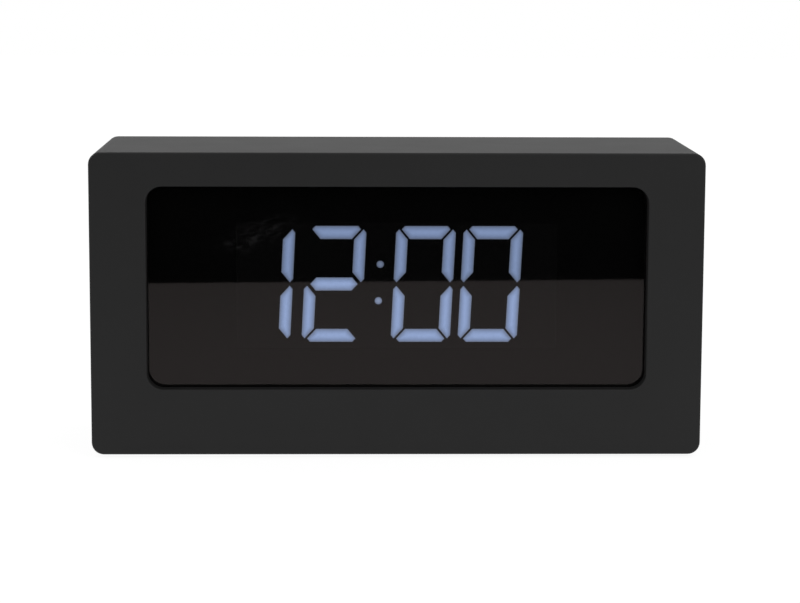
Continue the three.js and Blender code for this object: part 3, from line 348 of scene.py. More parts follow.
def press_rings(piece, keep, rings):
    """Press rings into the face for which keep(face) holds, each an inset and a depth in millimetres"""
    bpy.ops.object.mode_set(mode="EDIT")
    bpy.ops.mesh.select_mode(type="FACE")
    select_faces(piece, keep)
    for inset, depth in rings:
        bpy.ops.mesh.inset(thickness=inset * MM, depth=depth * MM)
    bpy.ops.object.mode_set(mode="OBJECT")


def combine(piece, other, operation):
    """Join another block to a piece or cut it away, and use the other block up"""
    select_only(piece)
    boolean = piece.modifiers.new("combine", "BOOLEAN")
    boolean.operation = operation
    boolean.solver = "EXACT"
    boolean.object = other
    bpy.ops.object.modifier_apply(modifier=boolean.name)
    bpy.data.objects.remove(other)


def smooth(piece, angle=35):
    """Smooth the rounded edges, up to an angle in degrees, while broad faces stay flat"""
    select_only(piece)
    bpy.ops.object.shade_smooth_by_angle(angle=math.radians(angle))
    weighted = piece.modifiers.new("flat faces", "WEIGHTED_NORMAL")
    weighted.keep_sharp = True
    bpy.ops.object.modifier_apply(modifier=weighted.name)


def softened(name, node, radius, angle=40):
    """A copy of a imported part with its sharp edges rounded, which stands for it"""
    select_only(NODES[node])
    bpy.ops.object.duplicate()
    piece = bpy.context.object
    piece.parent = None
    piece.name = name
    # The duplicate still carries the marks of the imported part, and a piece of its own has none
    for mark in list(piece.keys()):
        del piece[mark]
    bpy.ops.object.mode_set(mode="EDIT")
    bpy.ops.mesh.select_all(action="SELECT")
    bpy.ops.mesh.remove_doubles(threshold=WELD)
    bpy.ops.mesh.dissolve_limited(angle_limit=math.radians(1))
    bpy.ops.object.mode_set(mode="OBJECT")
    bevel = piece.modifiers.new("soft edges", "BEVEL")
    bevel.width = radius
    bevel.segments = 2
    bevel.limit_method = "ANGLE"
    bevel.angle_limit = math.radians(angle)
    bpy.ops.object.modifier_apply(modifier=bevel.name)
    smooth(piece, angle)
    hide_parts(node)
    return piece


def turned(name, profile, sides=64):
    """A piece turned about the X axis, from its profile of places along the axis and radii"""
    begin()
    bpy.ops.mesh.primitive_circle_add(vertices=len(profile))
    piece = bpy.context.object
    piece.name = name
    for vertex, (along, radius) in zip(piece.data.vertices, profile):
        vertex.co = (along, 0, radius)
    bpy.ops.object.mode_set(mode="EDIT")
    bpy.ops.mesh.select_all(action="SELECT")
    bpy.ops.mesh.spin(steps=sides, angle=2 * math.pi, center=(0, 0, 0), axis=(1, 0, 0))
    bpy.ops.mesh.select_all(action="SELECT")
    bpy.ops.mesh.remove_doubles(threshold=WELD)
    bpy.ops.mesh.delete_loose()
    bpy.ops.mesh.select_all(action="SELECT")
    bpy.ops.mesh.normals_make_consistent(inside=False)
    bpy.ops.object.mode_set(mode="OBJECT")
    return piece


def dress(piece, material, body):
    """Give a finished piece its material and let it ride on a body"""
    piece.data.materials.clear()
    piece.data.materials.append(material)
    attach(piece, body)


def placed_copy(model, name, node, move, material, body):
    """A copy of a model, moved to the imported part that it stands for"""
    copy = bpy.data.objects.new(name, model.data.copy())
    bpy.context.scene.collection.objects.link(copy)
    copy.data.transform(move)
    dress(copy, material, body)
    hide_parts(node)
    return copy


def place_copies(make, node, name, bodies, material):
    """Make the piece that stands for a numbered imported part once, and copy it to them all"""
    low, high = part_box(f"{node}_1")
    model = make(low, high)
    for number, body in enumerate(bodies, start=1):
        part = f"{node}_{number}"
        move = Matrix.Translation(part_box(part)[0] - low)
        placed_copy(model, f"{name}_{number}", part, move, material, body)
    bpy.data.objects.remove(model)


class CLOCK_OT_case(bpy.types.Operator):
    """Model the one-piece case with its sunken window"""

    bl_idname = "clock.case"
    bl_label = "Case"

    def execute(self, context):
        sizes = context.scene.clock_sizes
        low, high = HOUSING
        lens_low, lens_high = LENS
        wall = sizes.wall
        inner = low.y + wall
        lens_overlap, tape = 2 * MM, 0.3 * MM
        pocket_clearance, pocket_wall, cavity_radius = 0.3 * MM, 1.6 * MM, 0.8 * MM
        pocket_radius = sizes.window_radius + lens_overlap + pocket_clearance

        def on_ends(start, end):
            return start.y == end.y and abs(start.y) > high.y - TOUCH

        case = rounded_block("case", low, high, sizes.corner_radius)
        round_edges(case, sizes.edge_radius, on_ends)
        cavity_low = (low.x + wall, inner, low.z + wall)
        cavity_high = (high.x - wall, high.y + wall, high.z - wall)
        combine(case, rounded_block("cavity", cavity_low, cavity_high, cavity_radius), "DIFFERENCE")

        beside = Vector((pocket_clearance, 0, pocket_clearance))
        collar = beside + Vector((pocket_wall, 0, pocket_wall))
        rim_low, rim_high = lens_low - collar, lens_high + collar
        rim_low.y = inner - wall / 2
        combine(case, rounded_block("rim", rim_low, rim_high, pocket_radius + pocket_wall), "UNION")
        pocket_low = lens_low - beside - Vector((0, tape, 0))
        pocket_high = lens_high + beside + Vector((0, wall, 0))
        combine(case, rounded_block("pocket", pocket_low, pocket_high, pocket_radius), "DIFFERENCE")

        window_low = Vector((low.x + sizes.side_bezel, low.y - wall, low.z + sizes.bottom_bezel))
        window_high = Vector((high.x - sizes.side_bezel, lens_high.y, high.z - sizes.top_bezel))
        combine(case, rounded_block("window", window_low, window_high, sizes.window_radius), "DIFFERENCE")

        def on_lip(start, end):
            return all(
                abs(place.y - low.y) < TOUCH
                and window_low.x - TOUCH < place.x < window_high.x + TOUCH
                and window_low.z - TOUCH < place.z < window_high.z + TOUCH
                for place in (start, end)
            )

        round_edges(case, sizes.lip_radius, on_lip)
        smooth(case)
        dress(case, satin_charcoal(context.scene.clock_colours.case), "clock")
        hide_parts("housing")
        return {"FINISHED"}


class CLOCK_OT_display(bpy.types.Operator):
    """Light the segments that read twelve o'clock"""

    bl_idname = "clock.display"
    bl_label = "Display"

    def across(self, outline):
        """The same outline, mirrored left to right"""
        return [(-x, z) for x, z in reversed(outline)]

    def down(self, outline):
        """The same outline, mirrored top to bottom"""
        return [(x, -z) for x, z in reversed(outline)]

    def bar_outlines(self, width, height):
        """Outlines of a digit's seven bars about its middle"""
        upright_width, bar_height = 3.15 * MM, 3.5 * MM
        tip_drop, tip_inset = 0.9 * MM, 0.8 * MM
        mitre_gap, middle_gap, waist = 0.65 * MM, 0.8 * MM, 0.86 * MM
        # How far a mitre runs sideways for its rise
        mitre_run = 0.87
        side, top = width / 2, height / 2
        tip, inner = side - tip_inset, side - upright_width
        upright_top, foot = top - tip_drop, waist / 2
        mitre = (tip - inner) / mitre_run
        upright = [
            (side, foot + tip_drop), (side, upright_top - tip_drop), (tip, upright_top),
            (inner, upright_top - mitre), (inner, foot + mitre), (tip, foot),
        ]
        bar_tip = tip - mitre_gap
        bar_inner = bar_tip - (bar_height - tip_drop) * mitre_run
        crossbar = [
            (bar_tip, top - tip_drop), (bar_tip - tip_inset, top), (tip_inset - bar_tip, top),
            (-bar_tip, top - tip_drop), (-bar_inner, top - bar_height), (bar_inner, top - bar_height),
        ]
        middle_tip = tip - middle_gap
        middle_inner = middle_tip - bar_height / 2 * mitre_run
        middle = [
            (middle_tip, 0), (middle_inner, bar_height / 2), (-middle_inner, bar_height / 2),
            (-middle_tip, 0), (-middle_inner, -bar_height / 2), (middle_inner, -bar_height / 2),
        ]
        lower_upright = self.down(upright)
        return {
            "top": crossbar, "upper_left": self.across(upright), "upper_right": upright, "middle": middle,
            "lower_left": self.across(lower_upright), "lower_right": lower_upright,
            "bottom": self.down(crossbar),
        }

    def rim_distance(self, x, z, outline):
        """How far a place in the film is from the nearest side of its outline"""
        place = Vector((x, z))
        distances = []
        for start, end in zip(outline, outline[1:] + outline[:1]):
            side = Vector(end) - Vector(start)
            distances.append(abs(side.cross(place - Vector(start))) / side.length)
        return min(distances)

    def lit_bar(self, outline, level, reach, fringe, cuts=9):
        """One lit bar: a film slab that fills its opening in the mask

        Its glow grows from the rim inwards over the length reach, and its colour changes over fringe.
        """
        clearance, thickness, growth = 0.02 * MM, 0.4 * MM, 1.5
        begin()
        bpy.ops.mesh.primitive_circle_add(
            vertices=len(outline), fill_type="NGON", rotation=(math.pi / 2, 0, 0))
        bar = bpy.context.object
        settle()
        for vertex, (x, z) in zip(bar.data.vertices, outline):
            vertex.co = (x, MASK[1].y - clearance, z)
        bpy.ops.object.mode_set(mode="EDIT")
        bpy.ops.mesh.select_all(action="SELECT")
        bpy.ops.mesh.extrude_region_move(TRANSFORM_OT_translate={"value": (0, -thickness, 0)})
        bpy.ops.mesh.poke()
        bpy.ops.mesh.subdivide(number_cuts=cuts)
        bpy.ops.mesh.select_all(action="SELECT")
        bpy.ops.mesh.quads_convert_to_tris(quad_method="BEAUTY", ngon_method="BEAUTY")
        bpy.ops.object.mode_set(mode="OBJECT")
        for name in ("glow", "inside"):
            bar.data.attributes.new(name, "FLOAT", "POINT")
        glow, inside = bar.data.attributes["glow"].data, bar.data.attributes["inside"].data
        for vertex in bar.data.vertices:
            distance = self.rim_distance(vertex.co.x, vertex.co.z, outline)
            depth = min(1, distance / reach)
            glow[vertex.index].value = level * (1 - (1 - RIM_GLOW) * (1 - depth) ** growth)
            inside[vertex.index].value = min(1, distance / fringe)
        return bar

    def finish_digit(self, made, name, film):
        """Join the lit bars of one digit and let them glow"""
        select_only(*made)
        bpy.ops.object.join()
        digit = bpy.context.object
        digit.name = name
        bpy.ops.object.mode_set(mode="EDIT")
        bpy.ops.mesh.select_all(action="SELECT")
        bpy.ops.mesh.normals_make_consistent(inside=False)
        bpy.ops.object.mode_set(mode="OBJECT")
        dress(digit, film, "clock")

    def execute(self, context):
        sizes, colours = context.scene.clock_sizes, context.scene.clock_colours
        film = lit_film(colours.light, colours.rim_light)
        slant, digit_rise = math.tan(sizes.digit_slant), 0.55 * MM
        rise = ((MASK[0] + MASK[1]) / 2).z + digit_rise
        self.digits(sizes, film, slant, rise)
        self.colon(film, slant, rise)
        return {"FINISHED"}

    def digits(self, sizes, film, slant, rise):
        """The four digits, of which the first shows only its right side"""
        bars = self.bar_outlines(sizes.digit_width, sizes.digit_height)
        hour_tens = -27.36 * MM - sizes.digit_width / 2
        hour_units, minute_tens, minute_units = -16.55 * MM, 6.95 * MM, 24.65 * MM
        reach, fringe = 1.75 * MM, 0.6 * MM
        one = ["upper_right", "lower_right"]
        two = ["top", "upper_right", "middle", "lower_left", "bottom"]
        zero = ["top", "upper_right", "lower_right", "bottom", "lower_left", "upper_left"]
        digits = [
            ("lit_hour_tens", hour_tens, one),
            ("lit_hour_units", hour_units, two),
            ("lit_minute_tens", minute_tens, zero),
            ("lit_minute_units", minute_units, zero),
        ]
        for name, centre, lit in digits:
            made = []
            for bar in lit:
                outline = [(centre + x + z * slant, rise + z) for x, z in bars[bar]]
                # Bars of the lower half glow brighter: a painted reflection of the floor in the lens
                level = UPPER_LEVEL if bar in UPPER_BARS else LOWER_LEVEL_WITH_PAINTED_REFLECTION
                made.append(self.lit_bar(outline, level, reach, fringe))
            self.finish_digit(made, name, film)

    def colon(self, film, slant, rise):
        """The two dots of the colon"""
        centre, colon_rise, half_spread = -4.61 * MM, 0.41 * MM, 4.85 * MM
        radius, sides, reach, fringe = 1 * MM, 32, 0.9 * MM, 4 * MM
        turns = [2 * math.pi * i / sides for i in range(sides)]
        dots = []
        # The lower dot glows brighter: a painted reflection of the floor in the lens
        for side, level in ((-1, LOWER_DOT_LEVEL_WITH_PAINTED_REFLECTION), (1, UPPER_DOT_LEVEL)):
            x = centre + side * half_spread * slant
            z = rise + colon_rise + side * half_spread
            ring = [(x + radius * math.cos(turn), z + radius * math.sin(turn)) for turn in turns]
            dots.append(self.lit_bar(ring, level, reach, fringe, cuts=3))
        self.finish_digit(dots, "lit_colon", film)


class CLOCK_OT_rear(bpy.types.Operator):
    """Soften the rear cover, the battery door and the power socket"""

    bl_idname = "clock.rear"
    bl_label = "Rear cover and door"

    def execute(self, context):
        edge_radius = 0.15 * MM
        charcoal = satin_charcoal(context.scene.clock_colours.case)
        black = surface("socket moulding", (0.006, 0.006, 0.0065), 0.4)
        parts = [
            ("back_cover", "rear_cover", "clock", charcoal, "charcoal"),
            ("bay_door", "battery_door", "battery_door", charcoal, "charcoal"),
            ("socket_block", "power_socket", "clock", black, "black"),
        ]
        for name, node, body, plastic, slot in parts:
            piece = softened(name, node, edge_radius)
            dress(piece, plastic, body)
        return {"FINISHED"}


class CLOCK_OT_keys(bpy.types.Operator):
    """Model one dished key and copy it, and the ribbed knob of the slide switch"""

    bl_idname = "clock.keys"
    bl_label = "Keys"

    def execute(self, context):
        paler = 1.35
        colour = [paler * channel for channel in context.scene.clock_colours.case]
        plastic = surface("key charcoal", colour, 0.5, drift=0.05)
        bodies = ["key_1", "key_2", "key_3", "key_4"]
        place_copies(self.key, "button", "key_cap", bodies, plastic)
        knob = self.knob(*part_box("slide_knob"))
        dress(knob, plastic, "alarm_slide")
        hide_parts("slide_knob")
        return {"FINISHED"}

    def key(self, low, high):
        """A cap with a dished face, on the flange that keeps it in the cover"""
        flange, thickness = 0.8 * MM, 1 * MM
        flange_radius, cap_radius, edge_radius = 0.3 * MM, 1.2 * MM, 0.35 * MM
        dish = [(0.2, -0.05), (0.25, -0.1), (0.2, -0.05)]
        key = rounded_block("key", low, (high.x, low.y + thickness, high.z), flange_radius, steps=3)
        cap_low = low + Vector((flange, thickness / 2, flange))
        cap_high = high - Vector((flange, 0, flange))
        cap = rounded_block("cap", cap_low, cap_high, cap_radius)
        round_edges(cap, edge_radius, on_rear(high))
        press_rings(cap, lambda face: face.normal.y > FACING, dish)
        combine(key, cap, "UNION")
        smooth(key, angle=50)
        return key

    def knob(self, low, high):
        """A grip with three ribs on its sliding flange, with the lever in front of it"""
        x, _, z = (low + high) / 2
        flange_front, thickness, flange_radius = high.y - 4.2 * MM, 1 * MM, 0.3 * MM
        flange_middle, flange_rear = flange_front + thickness / 2, flange_front + thickness
        lever_half, lever_radius = (0.8 * MM, 0.7 * MM), 0.1 * MM
        grip_half, grip_radius = (1.8 * MM, 2.1 * MM), 0.3 * MM
        rib_half, rib_radius, rib_edge = (0.32 * MM, 2 * MM), 0.1 * MM, 0.2 * MM
        rib_pitch, rib_depth, rib_proud = 1.25 * MM, 1 * MM, 0.3 * MM
        knob = rounded_block(
            "slide_grip", (low.x, flange_front, low.z), (high.x, flange_rear, high.z), flange_radius, steps=3)
        lever = rounded_post("lever", x, z, *lever_half, low.y, flange_middle, lever_radius)
        combine(knob, lever, "UNION")
        grip = rounded_post(
            "grip", x, z, *grip_half, flange_middle, high.y - rib_proud, grip_radius, steps=3)
        for step in (-1, 0, 1):
            rib_x = x + step * rib_pitch
            rib = rounded_post("rib", rib_x, z, *rib_half, high.y - rib_depth, high.y, rib_radius)
            round_edges(rib, rib_edge, on_rear(high), steps=3)
            combine(grip, rib, "UNION")
        combine(knob, grip, "UNION")
        smooth(knob, angle=40)
        return knob


class CLOCK_OT_fittings(bpy.types.Operator):
    """Model the cover's screws, the feet and the cells once each, and copy them"""

    bl_idname = "clock.fittings"
    bl_label = "Screws, feet and cells"

    def execute(self, context):
        zinc = surface("zinc screw", (0.42, 0.43, 0.46), 0.34, drift=0.1, patch=1 * MM, metallic=1)
        rubber = surface("foot rubber", (0.012, 0.012, 0.013), 0.85, grain=0.3 * MM, relief=0.03 * MM)
        on_clock = ["clock"] * 4
        place_copies(self.cross_head_screw, "cover_screw", "zinc_screw", on_clock, zinc)
        place_copies(self.foot, "foot", "rubber_foot", on_clock, rubber)
        self.cells()
        self.legends()
        return {"FINISHED"}

    def cells(self):
        """Three sleeved cells, the middle one turned end for end"""
        low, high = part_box("battery_1")
        radius, length = (high.z - low.z) / 2, high.x - low.x
        shoulder, fold, nub_radius, nub_height = 0.35 * MM, 0.9 * MM, 1.9 * MM, 0.9 * MM
        recess, step, band_width = 0.25 * MM, 0.2 * MM, 9 * MM
        nub_gap, nub_edge, nub_corner = 0.3 * MM, 0.25 * MM, 0.08 * MM
        face = length - nub_height
        band = face - band_width
        cell = turned("cell", [
            (recess, 0), (recess, radius - 2 * fold), (0, radius - 1.8 * fold), (0, radius - fold),
            (step / 2, radius - fold), (0, radius - 0.8 * fold), (0, radius - shoulder),
            (0.3 * shoulder, radius - 0.1 * shoulder), (shoulder, radius), (band, radius),
            (face - shoulder, radius), (face - 0.3 * shoulder, radius - 0.1 * shoulder),
            (face, radius - shoulder), (face, radius - fold), (face - step, radius - fold),
            (face - step, radius - 1.6 * fold), (face, nub_radius + nub_gap), (face, nub_radius),
            (length - nub_edge, nub_radius), (length - nub_corner, nub_radius - nub_corner),
            (length, nub_radius - nub_edge), (length, 0),
        ])
        smooth(cell, angle=40)
        finishes = [
            surface("cell sleeve", (0.012, 0.035, 0.12), 0.3, drift=0.06, patch=6 * MM, relief=0.005 * MM),
            surface("cell band", (0.45, 0.46, 0.48), 0.28, drift=0.06, patch=6 * MM, relief=0.005 * MM,
                    metallic=1),
            surface("cell end", (0.6, 0.6, 0.58), 0.3, drift=0.1, patch=2 * MM, metallic=1),
        ]
        on_sleeve, on_band, on_end = range(3)
        zones = []
        for side in cell.data.polygons:
            outside = on_band if side.center.x > band else on_sleeve
            zones.append(outside if side.center.yz.length > radius - fold else on_end)
        for number in (1, 2, 3):
            part = f"battery_{number}"
            low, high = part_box(part)
            end, half_turns = (high.x, 1) if number == 2 else (low.x, 0)
            start = Vector((end, (low.y + high.y) / 2, (low.z + high.z) / 2))
            move = Matrix.Translation(start) @ Matrix.Rotation(half_turns * math.pi, 4, "Z")
            copy = placed_copy(cell, f"cell_{number}", part, move, finishes[0], "clock")
            for finish in finishes[1:]:
                copy.data.materials.append(finish)
            copy.data.polygons.foreach_set("material_index", zones)
        bpy.data.objects.remove(cell)

    def legends(self):
        """The words beside the keys and the slide switch, printed on the rear cover"""
        key_size, slide_size, clearance, ink = 2.3 * MM, 2.1 * MM, 2.2 * MM, 0.03 * MM
        on_inset, off_inset, switch_shift = 1.4 * MM, 3.6 * MM, 1 * MM
        sliver = 0.004 * MM
        # From behind, the keys run from the fourth to the first, from left to right
        keys = [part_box(f"button_{number}") for number in (4, 3, 2, 1)]
        slide_low, slide_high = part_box("slide_knob")
        below, above = keys[0][0].z - clearance, keys[0][1].z + clearance
        words = []
        for word, (key_low, key_high) in zip(("TIME", "ALARM", "HOUR", "MIN"), keys):
            words.append((word, (key_low.x + key_high.x) / 2, below, key_size))
        words += [
            ("ON", slide_high.x - on_inset, below, slide_size),
            ("OFF", slide_low.x + off_inset, below, slide_size),
            ("ALARM", (slide_low.x + slide_high.x) / 2 + switch_shift, above, slide_size),
        ]
        made = []
        for word, x, z, size in words:
            begin()
            bpy.ops.object.text_add(location=(x, COVER[1].y, z), rotation=(math.pi / 2, 0, math.pi))
            text = bpy.context.object
            text.data.body = word
            text.data.size = size
            text.data.align_x = "CENTER"
            text.data.align_y = "CENTER"
            text.data.extrude = ink
            bpy.ops.object.convert(target="MESH")
            settle()
            made.append(bpy.context.object)
        select_only(*made)
        bpy.ops.object.join()
        legends = bpy.context.object
        legends.name = "rear_legends"
        bpy.ops.object.mode_set(mode="EDIT")
        bpy.ops.mesh.select_all(action="SELECT")
        bpy.ops.mesh.remove_doubles(threshold=sliver)
        bpy.ops.mesh.dissolve_degenerate(threshold=sliver)
        bpy.ops.mesh.quads_convert_to_tris(quad_method="BEAUTY", ngon_method="BEAUTY")
        bpy.ops.object.mode_set(mode="OBJECT")
        dress(legends, surface("legend ink", (0.5, 0.5, 0.5), 0.5, drift=0.1, patch=2 * MM), "clock")

    def round_bar(self, name, x, z, front, rear, radius, sides=48):
        """A round bar about the line at x and z, from front to rear along Y"""
        start, end = Vector((x, front, z)), Vector((x, rear, z))
        begin()
        bpy.ops.mesh.primitive_cylinder_add(
            vertices=sides, radius=radius, depth=end.y - start.y, location=(start + end) / 2,
            rotation=(math.pi / 2, 0, 0))
        bar = bpy.context.object
        bar.name = name
        settle()
        return bar

    def cross_head_screw(self, low, high):
        """A pan head with a cross recess on its shank"""
        x, _, z = (low + high) / 2
        head_depth, head_radius, head_edge = 2 * MM, (high.x - low.x) / 2, 0.7 * MM
        shank_radius, join = 1.2 * MM, 0.1 * MM
        arm, half_width, depth, recess_radius = 1.35 * MM, 0.28 * MM, 1 * MM, 0.1 * MM
        head_front = high.y - head_depth
        screw = self.round_bar("screw", x, z, low.y, head_front + join, shank_radius, sides=24)
        head = self.round_bar("head", x, z, head_front, high.y, head_radius)
        round_edges(head, head_edge, on_rear(high), steps=5)
        combine(screw, head, "UNION")
        for half in ((arm, half_width), (half_width, arm)):
            recess = rounded_post("recess", x, z, *half, high.y - depth, high.y + depth, recess_radius)
            combine(screw, recess, "DIFFERENCE")
        smooth(screw, angle=30)
        return screw

    def foot(self, low, high):
        """A round rubber foot with a soft lower edge and a shallow ring moulded in its sole"""
        edge_radius, sides = 0.35 * MM, 64
        ring = [(1.1, 0), (0.15, -0.2), (0.8, 0), (0.15, 0.2)]
        begin()
        bpy.ops.mesh.primitive_cylinder_add(
            vertices=sides, radius=(high.x - low.x) / 2, depth=high.z - low.z, location=(low + high) / 2)
        foot = bpy.context.object
        settle()
        round_edges(foot, edge_radius, lambda start, end: max(start.z, end.z) < low.z + TOUCH)
        press_rings(foot, lambda face: face.normal.z < -FACING, ring)
        smooth(foot, angle=30)
        return foot


class CLOCK_OT_finishes(bpy.types.Operator):
    """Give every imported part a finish; the parts that a piece stands for stay hidden"""

    bl_idname = "clock.finishes"
    bl_label = "Finishes"

    def execute(self, context):
        finishes = {
            "charcoal": satin_charcoal(context.scene.clock_colours.case),
            "smoked": smoked_acrylic(),
            "black": surface("black moulding", (0.006, 0.006, 0.0065), 0.6),
            "foam": surface("foam", (0.008, 0.008, 0.008), 0.95, grain=0.3 * MM, relief=0.1 * MM),
            "white": surface("white moulding", (0.78, 0.78, 0.75), 0.5, drift=0.03),
            "milky": surface("unlit film", (0.008, 0.009, 0.012), 0.5),
            "board": surface("solder mask", (0.012, 0.07, 0.025), 0.35, drift=0.25, patch=4 * MM),
            "nickel": surface("nickel plate", (0.62, 0.6, 0.56), 0.25, drift=0.05, patch=2 * MM, metallic=1),
            "steel": surface("zinc plate", (0.5, 0.51, 0.53), 0.32, drift=0.08, patch=1 * MM, metallic=1),
            "rubber": surface("plain rubber", (0.012, 0.012, 0.013), 0.85),
            "cell": surface("plain sleeve", (0.03, 0.09, 0.22), 0.3, drift=0.06),
            "ribbon": surface("ribbon jacket", (0.32, 0.33, 0.36), 0.5),
            "red_wire": surface("red sleeve", (0.35, 0.015, 0.015), 0.4),
            "black_wire": surface("black sleeve", (0.01, 0.01, 0.01), 0.4),
        }
        slots = {part["node"]: part["material_slot"] for part in frame["record"]["subparts"]}
        for name, node in NODES.items():
            node.data.materials.clear()
            node.data.materials.append(finishes[slots[name]])
        # The mask and the diffuser get a faint painted glow, white and even over each sheet
        for name in ("segment_mask", "segment_diffuser"):
            NODES[name].data.materials[0] = self.painted_glow_sheet(name)
        return {"FINISHED"}

    def painted_glow_sheet(self, name):
        """A dark sheet of the display, with a faint even white glow painted on it"""
        painted_glow = 0.014
        material = surface(name, (0.006, 0.006, 0.0065), 0.6)
        shader = material.node_tree.nodes["Principled BSDF"]
        shader.inputs["Emission Color"].default_value = WHITE
        shader.inputs["Emission Strength"].default_value = painted_glow
        return material


class CLOCK_OT_stage(bpy.types.Operator):
    """Make the camera, the floor and the soft studio light"""

    bl_idname = "clock.stage"
    bl_label = "Stage"

    def execute(self, context):
        self.camera(context)
        self.floor()
        self.world(context)
        self.lamp()
        return {"FINISHED"}

    def camera(self, context):
        """A long lens that looks slightly down on the clock"""
        place = (-0.0135, -0.625, 0.1353)
        aside, down, tilted = math.radians(-1.351), math.radians(7.778), math.radians(0.246)
        camera = bpy.data.cameras.new("camera")
        camera.lens = 104.84
        camera.sensor_width = 36
        camera.shift_y = -0.055
        viewer = bpy.data.objects.new("camera", camera)
        turn = Matrix.Rotation(aside, 4, "Z")
        lift = Matrix.Rotation(math.pi / 2 - down, 4, "X")
        roll = Matrix.Rotation(tilted, 4, "Z")
        viewer.matrix_world = Matrix.Translation(place) @ turn @ lift @ roll
        context.scene.collection.objects.link(viewer)
        context.scene.camera = viewer
        context.scene.view_settings.view_transform = "Standard"

    def floor(self):
        """A pale floor, whose front edge the lens mirrors as the line across its middle"""
        width, middle, front, slant = 2.4, 0.01, -0.3371, math.radians(-3.4)
        begin()
        bpy.ops.mesh.primitive_plane_add(size=width, location=(middle, front + width / 2, 0))
        floor = bpy.context.object
        floor.name = "floor"
        settle()
        corner = Matrix.Translation((middle, front, 0))
        floor.data.transform(corner @ Matrix.Rotation(slant, 4, "Z") @ corner.inverted())
        floor.data.materials.append(self.pale_floor(front))

    def pale_floor(self, front):
        """White to the camera, greyer to a reflection near its front edge, and clear from below"""
        white, edge_white, fade_length = 0.93, 0.72, 0.223
        material, nodes, links = new_material("pale floor")
        plain = nodes["Principled BSDF"]
        plain.inputs["Base Color"].default_value = (0.8, 0.8, 0.8, 1)
        plain.inputs["Roughness"].default_value = 0.9
        plain.inputs["Specular IOR Level"].default_value = 0

        place = nodes.new("ShaderNodeTexCoord")
        split = nodes.new("ShaderNodeSeparateXYZ")
        links.new(place.outputs["Object"], split.inputs[0])
        fade = nodes.new("ShaderNodeMapRange")
        fade.inputs["From Min"].default_value = front
        fade.inputs["From Max"].default_value = front + fade_length
        fade.inputs["To Min"].default_value = edge_white
        fade.inputs["To Max"].default_value = white
        links.new(split.outputs["Y"], fade.inputs["Value"])
        path = nodes.new("ShaderNodeLightPath")
        level = nodes.new("ShaderNodeMix")
        level.inputs["A"].default_value = white
        links.new(path.outputs["Is Glossy Ray"], level.inputs["Factor"])
        links.new(fade.outputs["Result"], level.inputs["B"])
        glow = nodes.new("ShaderNodeEmission")
        links.new(level.outputs["Result"], glow.inputs["Strength"])
        shadowed = nodes.new("ShaderNodeBsdfDiffuse")
        shadowed.inputs["Color"].default_value = (0.12, 0.12, 0.12, 1)
        seen = nodes.new("ShaderNodeAddShader")
        links.new(shadowed.outputs[0], seen.inputs[0])
        links.new(glow.outputs[0], seen.inputs[1])

        is_seen = self.any_of(nodes, links, path, ["Is Camera Ray", "Is Glossy Ray", "Is Transmission Ray"])
        above = self.mixed(nodes, links, is_seen, plain, seen)
        geometry = nodes.new("ShaderNodeNewGeometry")
        clear = nodes.new("ShaderNodeBsdfTransparent")
        whole = self.mixed(nodes, links, geometry.outputs["Backfacing"], above, clear)
        links.new(whole.outputs[0], nodes["Material Output"].inputs["Surface"])
        return material

    def lamp(self):
        """A weak soft lamp to the right of the camera"""
        place, target = Vector((0.3, -0.4, 0.35)), Vector((0, 0, 0.04))
        light = bpy.data.lights.new("side_lamp", "AREA")
        light.size = 0.3
        light.energy = 0.4
        lamp = bpy.data.objects.new("side_lamp", light)
        aim = (target - place).to_track_quat("-Z", "Y").to_matrix().to_4x4()
        lamp.matrix_world = Matrix.Translation(place) @ aim
        bpy.context.scene.collection.objects.link(lamp)

    def any_of(self, nodes, links, path, names):
        """A value that is 1 where any of these outputs of the light path is"""
        total = path.outputs[names[0]]
        for name in names[1:]:
            larger = nodes.new("ShaderNodeMath")
            larger.operation = "MAXIMUM"
            links.new(total, larger.inputs[0])
            links.new(path.outputs[name], larger.inputs[1])
            total = larger.outputs[0]
        return total

    def mixed(self, nodes, links, value, first, second):
        """Mix from the first shader to the second by a value"""
        mix = nodes.new("ShaderNodeMixShader")
        links.new(value, mix.inputs[0])
        links.new(first.outputs[0], mix.inputs[1])
        links.new(second.outputs[0], mix.inputs[2])
        return mix

    def backdrop(self, nodes, strength=1):
        """A white background of this strength"""
        background = nodes.new("ShaderNodeBackground")
        background.inputs["Color"].default_value = WHITE
        background.inputs["Strength"].default_value = strength
        return background

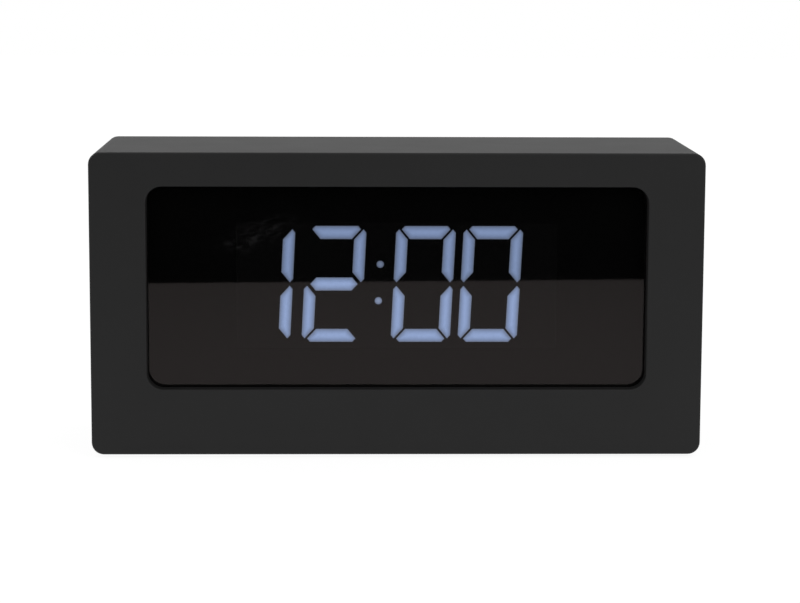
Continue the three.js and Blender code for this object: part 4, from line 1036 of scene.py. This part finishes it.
    def world(self, context):
        """An even white studio, which a reflection sees darken downwards and towards the viewer"""
        lean, darkest, palest, palest_level = 0.35, -0.45, 0.3, 0.95
        world = bpy.data.worlds.new("studio")
        context.scene.world = world
        world.use_nodes = True
        nodes, links = world.node_tree.nodes, world.node_tree.links
        nodes.remove(nodes["Background"])
        soft, mirrored, plain = self.backdrop(nodes, 0.85), self.backdrop(nodes), self.backdrop(nodes)
        direction = nodes.new("ShaderNodeTexCoord")
        split = nodes.new("ShaderNodeSeparateXYZ")
        links.new(direction.outputs["Generated"], split.inputs[0])
        height = nodes.new("ShaderNodeMath")
        height.operation = "MULTIPLY_ADD"
        height.inputs[1].default_value = lean
        links.new(split.outputs["Y"], height.inputs[0])
        links.new(split.outputs["Z"], height.inputs[2])
        fade = nodes.new("ShaderNodeMapRange")
        fade.inputs["From Min"].default_value = darkest
        fade.inputs["From Max"].default_value = palest
        fade.inputs["To Max"].default_value = palest_level
        links.new(height.outputs[0], fade.inputs["Value"])
        links.new(fade.outputs["Result"], mirrored.inputs["Strength"])
        path = nodes.new("ShaderNodeLightPath")
        lighting = self.mixed(nodes, links, path.outputs["Is Glossy Ray"], soft, mirrored)
        seen = self.any_of(nodes, links, path, ["Is Camera Ray", "Is Transmission Ray"])
        studio = self.mixed(nodes, links, seen, lighting, plain)
        links.new(studio.outputs[0], nodes["World Output"].inputs["Surface"])


class CLOCK_PT_panel(bpy.types.Panel):
    """The clock's sizes, colours and steps"""

    bl_idname = "CLOCK_PT_panel"
    bl_label = "Digital Alarm Clock"
    bl_space_type = "VIEW_3D"
    bl_region_type = "UI"
    bl_category = "Clock"

    def draw(self, context):
        for group in (context.scene.clock_sizes, context.scene.clock_colours):
            for name in group.__annotations__:
                self.layout.prop(group, name)
        for step in STEPS:
            self.layout.operator(step.bl_idname)


STEPS = [CLOCK_OT_stage, CLOCK_OT_finishes, CLOCK_OT_case, CLOCK_OT_display, CLOCK_OT_rear, CLOCK_OT_keys,
         CLOCK_OT_fittings]
CLASSES = [ClockSizes, ClockColours, *STEPS, CLOCK_PT_panel]


def register():
    """Add the clock's settings, steps and panel to Blender"""
    for item in CLASSES:
        bpy.utils.register_class(item)
    bpy.types.Scene.clock_sizes = PointerProperty(type=ClockSizes)
    bpy.types.Scene.clock_colours = PointerProperty(type=ClockColours)


def unregister():
    """Take the clock's settings, steps and panel out of Blender again"""
    del bpy.types.Scene.clock_colours
    del bpy.types.Scene.clock_sizes
    for item in reversed(CLASSES):
        bpy.utils.unregister_class(item)


def main():
    """Dress the whole clock"""
    register()
    bpy.ops.clock.stage()
    bpy.ops.clock.finishes()
    bpy.ops.clock.case()
    bpy.ops.clock.display()
    bpy.ops.clock.rear()
    bpy.ops.clock.keys()
    bpy.ops.clock.fittings()


if __name__ == "__main__":
    main()
